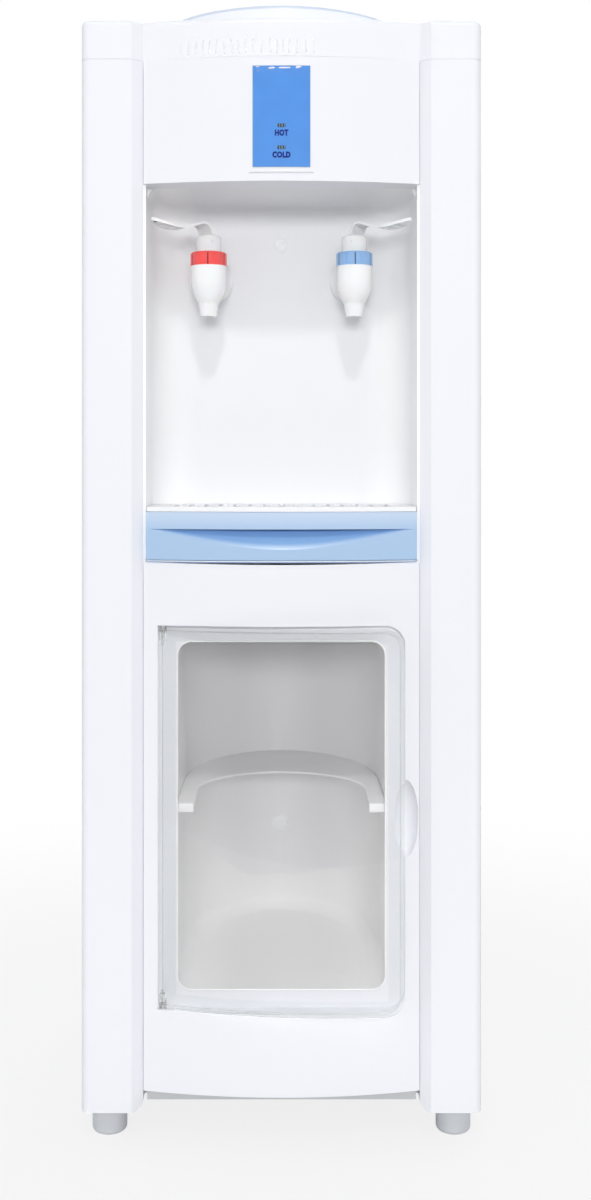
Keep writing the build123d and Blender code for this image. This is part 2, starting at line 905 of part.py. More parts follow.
def indicator_board():
    """The circuit board on its posts."""
    z = board_middle_z()
    half_x = board_width / 2
    half_z = board_height / 2
    return block(-half_x, half_x, board_y(), board_y() + board_thickness, z - half_z, z + half_z)


# Bottle seat

def bottle_collar():
    """The collar: a rounded rim, a funnel that guides the bottle and a ledge for the separator."""
    z = cover_top_z
    rim_top = z + collar_height
    inner = collar_radius - collar_rim
    points = [
        (collar_radius, z),
        (collar_radius, rim_top),
        (inner, rim_top),
        (collar_ledge_radius, collar_ledge_z),
        (collar_bore_radius, collar_ledge_z),
        (collar_bore_radius, collar_ledge_z - collar_wall),
        (collar_ledge_radius + collar_wall / 2, collar_ledge_z - collar_wall),
        (inner, rim_top - 2 * collar_wall),
        (inner, z - collar_skirt_drop),
        (collar_skirt_radius, z - collar_skirt_drop),
        (collar_skirt_radius, z),
    ]
    shape = turned(points, 0, collar_y)
    top = shape.edges().filter_by(GeomType.CIRCLE).group_by(Axis.Z)[-1]
    return fillet(top, collar_edge_radius)


def water_separator():
    """The cup that lifts out of the collar, with its spout below and the probe that opens the bottle."""
    flange_top = separator_z + separator_wall
    inner_cup = separator_cup_radius - separator_wall
    floor_top = cup_bottom_z + separator_wall
    points = [
        (probe_bore_radius, cup_bottom_z - spout_length),
        (spout_radius, cup_bottom_z - spout_length),
        (spout_radius, cup_bottom_z),
        (separator_cup_radius, cup_bottom_z),
        (separator_cup_radius, separator_z),
        (separator_flange_radius, separator_z),
        (separator_flange_radius, flange_top),
        (inner_cup, flange_top),
        (inner_cup, floor_top),
        (probe_radius, floor_top),
        (probe_radius, floor_top + probe_height),
        (0, floor_top + probe_height),
        (0, floor_top + probe_height - separator_wall),
        (probe_bore_radius, floor_top + probe_height - separator_wall),
    ]
    shape = turned(points, 0, collar_y)
    shape = fillet(shape.edges().sort_by(Axis.Z)[-1], probe_radius / 2)
    hole_z = floor_top + probe_height * 2 / 3
    for index in range(probe_hole_count):
        drill = along_x(0, hole_z, 0, probe_radius + separator_wall, probe_hole_radius)
        shape -= Pos(0, collar_y, 0) * Rot(0, 0, 360 * index / probe_hole_count) * drill
    return shape


# Taps. Each is modelled at its own axis with the lever along +X, then turned and moved.

def tap_place(side, turn):
    """Where a tap stands; turn is how far its top is turned out of the plain sideways direction."""
    heading = 180 + turn if side < 0 else -turn
    return Pos(side * tap_x, tap_depth, 0) * Rot(0, 0, heading)


def tap_body(side):
    """The tap's cup, neck, wall flange, threaded spigot and hose barb."""
    z = tap_axis_z
    belly_top_z = z - tap_body_top / 2
    lower = Polyline(
        (0, 0, tap_nozzle_z), (tap_tip_radius, 0, tap_nozzle_z), (tap_nozzle_radius, 0, tap_belly_z)
    )
    belly = TangentArc(
        (tap_body_radius, 0, belly_top_z), (tap_nozzle_radius, 0, tap_belly_z), tangent=(0, 0, -1)
    )
    upper = Polyline(
        (tap_body_radius, 0, belly_top_z), (tap_body_radius, 0, tap_top_z),
        (tap_throat_radius, 0, tap_top_z), (tap_throat_radius, 0, tap_rim_z), (0, 0, tap_rim_z),
    )
    axis_line = Line((0, 0, tap_rim_z), (0, 0, tap_nozzle_z))
    section = make_face([*lower.edges(), belly, *upper.edges(), axis_line])
    shape = Pos(side * tap_x, tap_depth, 0) * revolve(section, axis=Axis.Z)
    x = side * tap_x
    shape += along_y(x, z, tap_depth, tap_flange_y, tap_neck_radius)
    shape += along_y(x, z, tap_flange_y - tap_flange_thickness, tap_flange_y, tap_flange_radius)
    shape += along_y(x, z, tap_flange_y, spigot_end_y, spigot_radius)
    shape += along_y(x, z, spigot_end_y, spigot_end_y + barb_length, barb_radius)
    shape -= upright(x, tap_depth, tap_seat_z, tap_rim_z + face_gap, tap_bore_radius)
    shape -= upright(x, tap_depth, tap_nozzle_z - face_gap, tap_rim_z, tap_nozzle_bore)
    return shape - along_y(x, z, tap_depth, spigot_end_y + barb_length + face_gap, tap_inlet_bore)


def tap_ring(side):
    """The coloured ring nut that holds the cap down, with grip grooves."""
    top = tap_top_z + ring_height
    shape = upright(0, 0, tap_top_z, top, ring_radius)
    shape = chamfer(shape.edges().sort_by(Axis.Z)[-1], ring_edge)
    shape -= upright(0, 0, tap_top_z, top - ring_lip, tap_throat_radius)
    shape -= upright(0, 0, top - ring_lip, top + face_gap, cap_radius + face_gap)
    for index in range(ring_groove_count):
        angle = ring_groove_turn + 360 * (index + 1 / 4) / ring_groove_count
        groove = block(
            ring_radius - ring_groove_depth, ring_radius + face_gap,
            -ring_groove_width / 2, ring_groove_width / 2, tap_top_z + ring_edge, top - 2 * ring_edge,
        )
        shape -= Rot(0, 0, angle) * groove
    return Pos(side * tap_x, tap_depth, 0) * shape


def tap_cap(side):
    """The white cap: a flange under the ring nut, a pocket for the lever's root and the pin's hole."""
    flange_top = tap_rim_z + cap_flange_height
    shape = upright(0, 0, tap_rim_z, cap_top_z, cap_radius)
    shape = fillet(shape.edges().sort_by(Axis.Z)[-1], cap_edge_radius)
    shape += upright(0, 0, tap_rim_z, flange_top, cap_flange_radius)
    floor_z = tap_rim_z + cap_floor
    shape -= block(
        -cap_slot_rear, cap_slot_front, -cap_slot_half_width, cap_slot_half_width,
        floor_z, cap_top_z + face_gap,
    )
    shape -= upright(0, 0, tap_rim_z, floor_z, stem_radius + stem_clearance)
    shape -= pivot_rod(pivot_pin_radius, cap_radius + cut_overrun)
    return tap_place(side, lever_turn) * shape


def pivot_rod(radius, half_length):
    """A rod on the lever's pivot axis."""
    return Pos(pivot_offset, 0, pivot_z) * Rot(90, 0, 0) * Cylinder(radius, 2 * half_length)


def lever_pins():
    """The two steel pins that the levers turn on."""
    pin = pivot_rod(pivot_pin_radius, cap_radius - pivot_pin_setback)
    return Compound([tap_place(side, lever_turn) * pin for side in (-1, 1)])


def blade_points():
    """The top line of the lever's blade, from its root over the shoulder to the raised tip."""
    flat_z = cap_top_z + lever_height
    out, up = lever_shoulder_share
    points = [(0, cap_top_z), (out * lever_height, cap_top_z + up * lever_height)]
    for along, up in (lever_hump_share, lever_run_share, lever_sag_share, lever_tip_share):
        points.append((along * lever_length, flat_z + up * lever_height))
    return points


def lever_blade():
    """The bent blade, cut to a rounded tongue in plan."""
    top = blade_points()
    under = []
    for index, point in enumerate(top):
        before = top[max(index - 1, 0)]
        after = top[min(index + 1, len(top) - 1)]
        run = math.hypot(after[0] - before[0], after[1] - before[1])
        normal_x = (after[1] - before[1]) / run
        normal_z = -(after[0] - before[0]) / run
        under.append((point[0] + normal_x * lever_thickness, point[1] + normal_z * lever_thickness))
    top_line = Spline(*[(x, 0, z) for x, z in top])
    under_line = Spline(*[(x, 0, z) for x, z in under])
    tip_line = Line(top_line @ 1, under_line @ 1)
    root_line = Line(under_line @ 0, top_line @ 0)
    section = make_face([top_line, tip_line, under_line, root_line])
    blade = extrude(section, amount=lever_width / 2, both=True, dir=(0, 1, 0))
    tip_x = lever_length - lever_tip_length
    tongue = Pos(tip_x, 0) * Ellipse(lever_tip_length, lever_width / 2)
    straight_x = tip_x + cut_overrun
    tongue += Pos(tip_x - straight_x / 2, 0) * Rectangle(straight_x, lever_width)
    return blade & prism(tongue, cap_top_z + seat_gap, cap_top_z + 2 * lever_height)


def lever_root():
    """The forked root inside the cap: two arms to the pivot boss and on to the stem."""
    half = lever_root_width / 2
    boss_z = pivot_z + pivot_boss_radius
    outline = Polyline(
        (0, 0, cap_top_z + lever_thickness / 2),
        (lever_thickness, 0, cap_top_z + lever_thickness / 2),
        (pivot_offset + pivot_boss_radius, 0, pivot_z),
        (pivot_offset, 0, pivot_z - pivot_boss_radius),
        (0, 0, pivot_z - fork_end_radius),
        (0, 0, pivot_z + fork_end_radius),
        (pivot_offset / 2, 0, boss_z),
        close=True,
    )
    shape = extrude(make_face(outline), amount=half, both=True, dir=(0, 1, 0))
    shape += pivot_rod(pivot_boss_radius, half)
    shape += Pos(0, 0, pivot_z) * Rot(90, 0, 0) * Cylinder(fork_end_radius, lever_root_width)
    slot = stem_radius + stem_slot_clearance
    slot_end = pivot_offset - pivot_boss_radius / 2
    shape -= block(-cap_radius, slot_end, -slot, slot, pivot_z - cut_overrun, cap_top_z)
    head = stem_head_radius + stem_slot_clearance
    shape -= block(-cap_radius, head, -head, head, pivot_z + fork_end_radius, cap_top_z + face_gap)
    return shape


def tap_lever(side):
    """The whole lever, bored for its pin."""
    shape = lever_blade() + lever_root()
    shape -= pivot_rod(pivot_pin_radius + pivot_clearance, cap_radius)
    return tap_place(side, lever_turn) * shape


def tap_stem(side):
    """The valve stem: a seal on the seat, the rod and the head that the lever's fork lifts."""
    head_z = pivot_z + fork_end_radius + seat_gap
    shape = upright(0, 0, tap_seat_z, tap_seat_z + seal_height, seal_radius)
    shape += upright(0, 0, tap_seat_z, head_z + stem_head_height, stem_radius)
    shape += upright(0, 0, head_z, head_z + stem_head_height, stem_head_radius)
    return Pos(side * tap_x, tap_depth, 0) * shape


def tap_spring(side):
    """The envelope of the spring that closes the valve."""
    z0 = tap_seat_z + seal_height
    shape = upright(0, 0, z0, tap_rim_z, spring_radius)
    shape -= upright(0, 0, z0, tap_rim_z, spring_radius - spring_wall)
    return Pos(side * tap_x, tap_depth, 0) * shape


def tap_nuts():
    """The two nuts behind the niche wall."""
    group = []
    for side in (-1, 1):
        nut = extrude(RegularPolygon(nut_flats / 2, 6, major_radius=False), amount=nut_thickness)
        nut -= upright(0, 0, 0, nut_thickness, spigot_radius)
        group.append(Pos(side * tap_x, nut_y + nut_thickness, tap_axis_z) * Rot(90, 0, 0) * nut)
    return Compound(group)


def tap_gaskets():
    """The two rubber washers under the nuts."""
    group = []
    for side in (-1, 1):
        x = side * tap_x
        washer = along_y(x, tap_axis_z, gasket_y, nut_y, gasket_radius)
        group.append(washer - along_y(x, tap_axis_z, gasket_y, nut_y, spigot_radius))
    return Compound(group)


# Drip tray

def tray_plan(inset):
    """The tray's plan, drawn in by inset."""
    radius = niche_corner - tray_side_gap - inset
    return u_plan(tray_half - inset, bow_front_y - cut_overrun, tray_back_y - inset, radius)


def drip_tray():
    """The tray: a pan behind a thick bowed front with a finger scoop."""
    pan = prism(tray_plan(0), tray_bottom_z, tray_top_z)
    shape = pan & bow_cylinder(-tray_front_setback, tray_bottom_z, tray_top_z)
    fascia_half = niche_half - fascia_gap
    shape += bow_sheet(fascia_half, fascia_bottom_z, tray_top_z, fascia_proud, fascia_thickness)
    hollow = prism(tray_plan(tray_wall), tray_bottom_z + tray_wall, tray_top_z + face_gap)
    shape -= hollow & bow_cylinder(fascia_proud - fascia_thickness, tray_bottom_z, tray_top_z + face_gap)
    return shape - scoop()


def scoop():
    """The finger scoop: straight along its lip and running out softly below."""
    front = bow_front_y - fascia_proud
    low_z = lip_z - scoop_height
    run = math.hypot(scoop_depth, scoop_height)
    reach = math.sqrt(scoop_radius**2 - (run / 2)**2) / run
    centre_y = front + scoop_depth / 2 + reach * scoop_height
    centre_z = low_z + scoop_height / 2 - reach * scoop_depth
    waste = block(-half_width, half_width, front - cut_overrun, front + scoop_depth, low_z, lip_z)
    return waste - along_x(centre_y, centre_z, -half_width, half_width, scoop_radius)


def tray_grille():
    """The grille that lies on the tray."""
    shape = prism(tray_plan(0), grille_z, grille_z + grille_thickness)
    shape &= bow_cylinder(fascia_proud - grille_setback, grille_z, grille_z + grille_thickness)
    z0 = grille_z - face_gap
    z1 = grille_z + grille_thickness + face_gap
    front = bow_end_setback + grille_slot_margin
    for index in range(grille_slot_count):
        x = (index - (grille_slot_count - 1) / 2) * grille_slot_pitch
        back = grille_slot_back(x)
        half = grille_slot_width / 2
        shape -= block(x - half, x + half, front, back, z0, z1)
        shape -= upright(x, front, z0, z1, half)
        shape -= upright(x, back, z0, z1, half)
    return shape


def grille_slot_back(x):
    """How far back a grille slot runs, following the rounded rear corners."""
    straight = tray_half - niche_corner
    past = max(abs(x) + grille_slot_width / 2 - straight, 0)
    radius = niche_corner - tray_side_gap
    drawn_in = radius - math.sqrt(max(radius**2 - past**2, 0))
    return tray_back_y - grille_slot_margin - drawn_in


# Door

def hinge_pin_spans():
    """The heights that the two hinge pins reach through."""
    low = door_bottom_z - door_pocket_gap - hinge_pin_reach
    high = door_top_z + door_pocket_gap + hinge_pin_reach
    return [(low, low + hinge_pin_length), (high - hinge_pin_length, high)]


def at_door(shape):
    """Swing a piece of the closed door to where the door stands ajar."""
    hinge = Pos(door_hinge_x, door_hinge_y, 0)
    return hinge * Rot(0, 0, -door_ajar) * hinge.inverse() * shape


def door():
    """The clear bowed door, with a knuckle round each hinge pin."""
    shape = bow_sheet(door_half, door_bottom_z, door_top_z, 0, door_thickness)
    shape &= door_prism(0, bow_front_y - cut_overrun, pocket_floor)
    low = (door_bottom_z, door_bottom_z + door_knuckle_height)
    high = (door_top_z - door_knuckle_height, door_top_z)
    for z0, z1 in (low, high):
        shape += upright(door_hinge_x, door_hinge_y, z0, z1, door_knuckle_radius)
    for z0, z1 in hinge_pin_spans():
        shape -= upright(door_hinge_x, door_hinge_y, z0, z1, hinge_pin_radius)
    return at_door(shape)


def door_hinge_pins():
    """The two short pins pressed into the door's knuckles."""
    pins = [upright(door_hinge_x, door_hinge_y, z0, z1, hinge_pin_radius) for z0, z1 in hinge_pin_spans()]
    return Compound([at_door(pin) for pin in pins])


# Cold side

def cold_tank():
    """The open cold tank with its two nipples."""
    shape = upright(0, tank_y, tank_bottom_z, tank_top_z, tank_radius)
    low = tank_bottom_z - nipple_length
    for x, y in ((outlet_x, tank_y), (0, feed_y)):
        shape += upright(x, y, low, tank_bottom_z, nipple_radius)
    shape -= upright(0, tank_y, tank_bottom_z + tank_wall, tank_top_z + face_gap, tank_radius - tank_wall)
    for x, y in ((outlet_x, tank_y), (0, feed_y)):
        shape -= upright(x, y, low - face_gap, tank_top_z, nipple_bore)
    return shape


def cold_tank_lid():
    """The lid, with the socket that the separator's spout enters."""
    bore = spout_radius + socket_clearance
    shape = upright(0, tank_y, tank_top_z, lid_top_z, tank_radius)
    shape += upright(0, collar_y, tank_top_z - socket_depth, lid_top_z, bore + socket_wall)
    return shape - upright(0, collar_y, tank_top_z - socket_depth, lid_top_z, bore)


def tank_insulation():
    """The foam block round the cold tank."""
    half = tank_radius + foam_side
    rear = module_front_y
    shape = block(-half, half, niche_outer_y, rear, foam_bottom_z, tank_top_z)
    shape -= upright(0, tank_y, tank_bottom_z, tank_top_z + face_gap, tank_radius)
    for x, y in ((outlet_x, tank_y), (0, feed_y)):
        shape -= upright(x, y, foam_bottom_z, tank_bottom_z, hose_radius + seat_gap)
    side = module_size / 2
    return shape - block(-side, side, tank_y, rear, cold_z - side, cold_z + side)


def cold_block():
    """The metal block between the tank's wall and the module."""
    side = module_size / 2
    shape = block(-side, side, tank_y, module_front_y, cold_z - side, cold_z + side)
    return shape - upright(0, tank_y, cold_z - module_size, cold_z + module_size, tank_radius)


def cooling_module():
    """The thermoelectric module."""
    side = module_size / 2
    return block(-side, side, module_front_y, sink_y, cold_z - side, cold_z + side)


def heat_sink():
    """The finned heat sink behind the module."""
    side = sink_size / 2
    shape = block(-side, side, sink_y, sink_y + sink_base, cold_z - side, cold_z + side)
    for index in range(fin_count):
        x = (sink_size - fin_thickness) * (index / (fin_count - 1) - 1 / 2)
        fin = block(
            x - fin_thickness / 2, x + fin_thickness / 2, sink_y + sink_base, fan_front_y,
            cold_z - side, cold_z + side,
        )
        shape += fin
    return shape


def fan_frame():
    """The fan's frame with the hub bearing on three spokes."""
    side = fan_size / 2
    shape = block(-side, side, fan_front_y, back_inner_y, cold_z - side, cold_z + side)
    shape -= along_y(0, cold_z, fan_front_y, back_inner_y, fan_bore_radius)
    spoke_y = back_inner_y - fan_spoke_depth
    web = along_y(0, cold_z, spoke_y, back_inner_y, fan_hub_radius)
    half = fan_spoke_width / 2
    spoke = block(-half, half, spoke_y, back_inner_y, 0, fan_bore_radius + fan_blade_gap)
    for index in range(fan_spoke_count):
        web += Pos(0, 0, cold_z) * Rot(0, 360 * index / fan_spoke_count, 0) * spoke
    shape += web
    bearing = fan_shaft_radius + fan_shaft_clearance
    return shape - along_y(0, cold_z, spoke_y, back_inner_y, bearing)


def fan_rotor():
    """The fan's rotor: hub, pitched blades and shaft."""
    spoke_y = back_inner_y - fan_spoke_depth
    y0 = fan_front_y + fan_blade_gap
    y1 = spoke_y - seat_gap
    shape = along_y(0, cold_z, y0, y1, fan_hub_radius)
    middle = (y0 + y1) / 2
    reach = (y1 - y0) / 2
    span = fan_bore_radius - fan_blade_gap
    chord = 2 * (reach - fan_blade_thickness) / math.sin(math.radians(90 - fan_blade_pitch))
    blades = None
    for index in range(fan_blade_count):
        blade = Pos(0, 0, span / 2) * Rot(0, 0, fan_blade_pitch) * Box(fan_blade_thickness, chord, span)
        blade = Pos(0, middle, cold_z) * Rot(0, 360 * index / fan_blade_count, 0) * blade
        blades = blade if blades is None else blades + blade
    blades &= along_y(0, cold_z, y0, y1, span)
    shape += blades
    return shape + along_y(0, cold_z, y1 - seat_gap, back_inner_y, fan_shaft_radius)


# Hot side

def hot_tank():
    """The closed steel tank with an inlet and an outlet on top and the drain below."""
    shape = upright(0, hot_tank_y, hot_bottom_z, hot_top_z, hot_tank_radius)
    inner = hot_tank_radius - tank_wall
    for x, y in ((-hot_outlet_x, hot_tank_y), (0, feed_y)):
        shape += upright(x, y, hot_top_z, hot_top_z + nipple_length, nipple_radius)
    shape -= upright(0, hot_tank_y, hot_bottom_z + tank_wall, hot_top_z - tank_wall, inner)
    for x, y in ((-hot_outlet_x, hot_tank_y), (0, feed_y)):
        shape -= upright(x, y, hot_top_z - 2 * tank_wall, hot_top_z + nipple_length + face_gap, nipple_bore)
    return shape - upright(0, hot_tank_y, hot_bottom_z - face_gap, hot_bottom_z + 2 * tank_wall, drain_bore)


def heater_band():
    """The band heater round the hot tank, with its terminal box."""
    z0 = hot_bottom_z + heater_rise
    z1 = z0 + heater_width
    outer = hot_tank_radius + heater_thickness
    shape = upright(0, hot_tank_y, z0, z1, outer)
    half = heater_box / 2
    middle = (z0 + z1) / 2
    shape += block(
        outer - heater_thickness, outer + heater_box, hot_tank_y - half, hot_tank_y + half,
        middle - half, middle + half,
    )
    return shape - upright(0, hot_tank_y, z0 - face_gap, z1 + face_gap, hot_tank_radius)


def thermostats():
    """The control thermostat and the safety cut-out on the hot tank's wall."""
    group = []
    z = hot_bottom_z + thermostat_rise
    front = hot_tank_y - hot_tank_radius - thermostat_height
    for side in (-1, 1):
        disc = along_y(0, z, front, hot_tank_y, thermostat_radius)
        disc -= upright(0, hot_tank_y, hot_bottom_z, hot_top_z, hot_tank_radius)
        spread = Pos(0, hot_tank_y, 0) * Rot(0, 0, side * thermostat_turn / 2) * Pos(0, -hot_tank_y, 0)
        group.append(spread * disc)
    return Compound(group)


def tank_brackets():
    """Two sheet brackets on the back panel: one under the foam block, one under the hot tank."""
    group = []
    half = outlet_x + bracket_margin
    foam_front = nut_y + nut_thickness + bracket_front_gap
    for top_z, front in ((foam_bottom_z, foam_front), (hot_bottom_z, hot_tank_y - hot_tank_radius)):
        plate = block(-half, half, front, back_inner_y, top_z - bracket_sheet, top_z)
        plate += block(-half, half, back_inner_y - bracket_sheet, back_inner_y, top_z - bracket_flange, top_z)
        z0 = top_z - bracket_sheet - face_gap
        z1 = top_z + face_gap
        for x, y in ((outlet_x, tank_y), (0, feed_y)):
            plate -= upright(x, y, z0, z1, bracket_hole_radius)
        group.append(plate)
    return Compound(group)


# Hoses, electrics and drain

def hose(points, radii, outer, bore):
    """A hose of even bore along straight runs joined by arcs."""
    path = FilletPolyline(*points, radius=radii)
    start = Plane(origin=path @ 0, z_dir=path % 0)
    solid = sweep(start * Circle(outer), path=path)
    return solid - sweep(start * Circle(bore), path=path)


def cold_hose():
    """From the cold tank's outlet down and forward to the right tap."""
    z0 = tank_bottom_z - nipple_length / 4
    low = tap_axis_z - hose_drop / 2
    end_y = spigot_end_y + seat_gap
    points = [
        (outlet_x, tank_y, z0),
        (outlet_x, tank_y, low),
        (tap_x, tank_y - hose_bend / 2, low),
        (tap_x, tank_y - 2 * hose_bend, tap_axis_z),
        (tap_x, end_y, tap_axis_z),
    ]
    return hose(points, [hose_bend * share for share in (1, 1, 1 / 2)], hose_radius, barb_radius)


def hot_hose():
    """From the hot tank's outlet up and forward to the left tap."""
    z0 = hot_top_z + nipple_length / 8
    bend_z = tap_axis_z - hose_drop
    end_y = spigot_end_y + seat_gap
    points = [
        (-hot_outlet_x, hot_tank_y, z0),
        (-hot_outlet_x, hot_tank_y, bend_z),
        (-tap_x, tank_y, tap_axis_z),
        (-tap_x, end_y, tap_axis_z),
    ]
    return hose(points, [2 * hose_bend, hose_bend], hose_radius, barb_radius)


def feed_hose():
    """Straight down from the cold tank to the hot tank's inlet."""
    z0 = hot_top_z + nipple_length / 8
    z1 = tank_bottom_z - nipple_length / 4
    shape = upright(0, feed_y, z0, z1, hose_radius)
    return shape - upright(0, feed_y, z0, z1, barb_radius)


def power_board():
    """The supply board on four standoffs, with its transformer and two capacitors."""
    z = hot_bottom_z + power_board_rise
    half_x = power_board_width / 2
    half_z = power_board_height / 2
    rear = back_inner_y - power_board_standoff
    x = power_board_inset - half_width
    front = rear - power_board_thickness
    shape = block(x - half_x, x + half_x, front, rear, z - half_z, z + half_z)
    for dx in (standoff_radius - half_x, half_x - standoff_radius):
        for dz in (standoff_radius - half_z, half_z - standoff_radius):
            shape += along_y(x + dx, z + dz, rear, back_inner_y, standoff_radius)
    half = transformer_size / 2
    shape += block(x - half, x + half, front - transformer_height, front, z - half, z + half)
    for side in (-1, 1):
        capacitor_x = x + side * half / 2
        tip_y = front - transformer_height / 2
        shape += along_y(capacitor_x, z + transformer_size, tip_y, front, half / 3)
    return shape


def switch_heights():
    """The heights of the two rocker switches on the back: hot above, cold below."""
    top = hot_bottom_z + switch_rise
    return [top, top - switch_pitch]


def rocker_pivot_y():
    """How far back the rockers' axle lies."""
    return back_outer_y + switch_flange - rocker_radius + rocker_axle_reach


def switch_housings():
    """The two switch bodies, each clipped into the back sheet."""
    group = []
    half_x = switch_width / 2
    half_z = switch_height / 2
    for z in switch_heights():
        x0 = switch_x - half_x
        x1 = switch_x + half_x
        outer_y = back_outer_y + switch_flange
        body = block(x0, x1, back_outer_y - switch_depth, outer_y, z - half_z, z + half_z)
        rim_z = half_z + switch_rim
        body += block(x0 - switch_rim, x1 + switch_rim, back_outer_y, outer_y, z - rim_z, z + rim_z)
        wall = switch_cavity_wall
        cavity_y = rocker_pivot_y() - rocker_radius - seat_gap
        cavity_z = half_z - wall
        body -= block(x0 + wall, x1 - wall, cavity_y, outer_y + face_gap, z - cavity_z, z + cavity_z)
        bearing = rocker_axle_radius + rocker_axle_clearance
        reach = wall - seat_gap
        body -= along_x(rocker_pivot_y(), z, x0 + wall - reach, x1 - wall + reach, bearing)
        group.append(body)
    return Compound(group)


def rocker(z):
    """One rocker, tipped to its off side, with its axle stubs."""
    half = switch_width / 2 - switch_cavity_wall - rocker_side_gap
    pivot_y = rocker_pivot_y()
    shape = along_x(0, 0, -half, half, rocker_radius)
    for side in (-1, 1):
        waste = block(-half, half, 0, rocker_radius, -2 * rocker_radius, 2 * rocker_radius)
        face = Pos(0, rocker_radius - rocker_axle_reach * 2, 0) * Rot(side * rocker_tilt, 0, 0) * waste
        z_span = sorted((0, side * 2 * rocker_radius))
        keep_side = block(-half, half, -rocker_radius, 2 * rocker_radius, *z_span)
        shape -= face & keep_side
    reach = half + rocker_side_gap + rocker_axle_reach
    shape += along_x(0, 0, -reach, reach, rocker_axle_radius)
    return Pos(switch_x, pivot_y, z) * Rot(rocker_tilt, 0, 0) * shape


def mains_gland():
    """The gland in the back sheet where the supply cord would enter."""
    z = base_clearance + gland_rise
    x = -gland_x
    inner = back_outer_y - gland_depth
    outer = back_outer_y + gland_flange_height
    shape = along_y(x, z, inner, outer, gland_radius)
    shape += along_y(x, z, back_outer_y, outer, gland_flange_radius)
    shape += along_y(x, z, back_inner_y - gland_nut_height, back_inner_y, gland_nut_radius)
    return shape - along_y(x, z, inner - face_gap, outer + face_gap, gland_bore)


def drain_pipe():
    """From the bottom of the hot tank to the threaded outlet in the back sheet."""
    points = [(0, hot_tank_y, hot_bottom_z), (0, hot_tank_y, drain_z), (0, back_inner_y, drain_z)]
    path = FilletPolyline(*points, radius=drain_bend)
    start = Plane(origin=path @ 0, z_dir=path % 0)
    shape = sweep(start * Circle(drain_pipe_radius), path=path)
    outer = back_outer_y + drain_flange_height
    shape += along_y(0, drain_z, back_inner_y - drain_flange_height, back_inner_y, drain_flange_radius)
    shape += along_y(0, drain_z, back_inner_y, outer + drain_reach, drain_radius)
    shape += along_y(0, drain_z, back_outer_y, outer, drain_flange_radius)
    shape -= sweep(start * Circle(drain_bore), path=path)
    return shape - along_y(0, drain_z, back_inner_y - face_gap, outer + drain_reach + face_gap, drain_bore)


def drain_cap():
    """The cap over the drain outlet."""
    inner_y = back_outer_y + drain_flange_height + drain_cap_gap
    bore_end = back_outer_y + drain_flange_height + drain_reach + drain_cap_gap
    bore = drain_radius + drain_cap_gap
    shape = along_y(0, drain_z, inner_y, bore_end + drain_cap_wall, bore + drain_cap_wall)
    return shape - along_y(0, drain_z, inner_y - face_gap, bore_end, bore)


def build():
    """Model and write every piece."""
    os.makedirs("parts", exist_ok=True)
    left = side_column()
    save(left, "left_side_panel")
    save(mirror(left, about=Plane.YZ), "right_side_panel")
    single = {
        "top_cover": top_cover,
        "upper_front_panel": upper_front_panel,
        "lower_front_panel": lower_front_panel,
        "niche_liner": niche_liner,
        "cabinet_liner": cabinet_liner,
        "cabinet_shelf": cabinet_shelf,
        "base_pan": base_pan,
        "feet": feet,
        "back_panel": back_panel,
        "back_panel_screws": back_panel_screws,
        "indicator_plate": indicator_plate,
        "indicator_sheet": indicator_sheet,
        "indicator_lenses": indicator_lenses,
        "indicator_board": indicator_board,
        "bottle_collar": bottle_collar,
        "water_separator": water_separator,
        "tap_lever_pins": lever_pins,
        "tap_nuts": tap_nuts,
        "tap_gaskets": tap_gaskets,
        "drip_tray": drip_tray,
        "tray_grille": tray_grille,
        "door": door,
        "door_hinge_pins": door_hinge_pins,
        "cold_tank": cold_tank,
        "cold_tank_lid": cold_tank_lid,
        "tank_insulation": tank_insulation,
        "cold_block": cold_block,
        "cooling_module": cooling_module,
        "heat_sink": heat_sink,
        "fan_frame": fan_frame,
        "fan_rotor": fan_rotor,
        "hot_tank": hot_tank,
        "heater_band": heater_band,
        "thermostats": thermostats,
        "tank_brackets": tank_brackets,
        "cold_hose": cold_hose,
        "hot_hose": hot_hose,
        "feed_hose": feed_hose,
        "power_board": power_board,
        "switch_housings": switch_housings,
        "mains_gland": mains_gland,
        "drain_pipe": drain_pipe,
        "drain_cap": drain_cap,
    }
    for name, make in single.items():
        save(make(), name)
    tap_pieces = {
        "body": tap_body,
        "ring": tap_ring,
        "cap": tap_cap,
        "lever": tap_lever,
        "stem": tap_stem,
        "spring": tap_spring,
    }
    for prefix, side in (("hot_tap", -1), ("cold_tap", 1)):
        for piece, make in tap_pieces.items():
            save(make(side), f"{prefix}_{piece}")
    for name, z in zip(("hot_switch", "cold_switch"), switch_heights()):
        save(rocker(z), name)


build()
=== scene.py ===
import json
import math

import bmesh
import bpy
from bpy.props import FloatProperty, FloatVectorProperty, IntProperty, PointerProperty
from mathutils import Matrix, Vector
from mathutils import noise as noise_3d

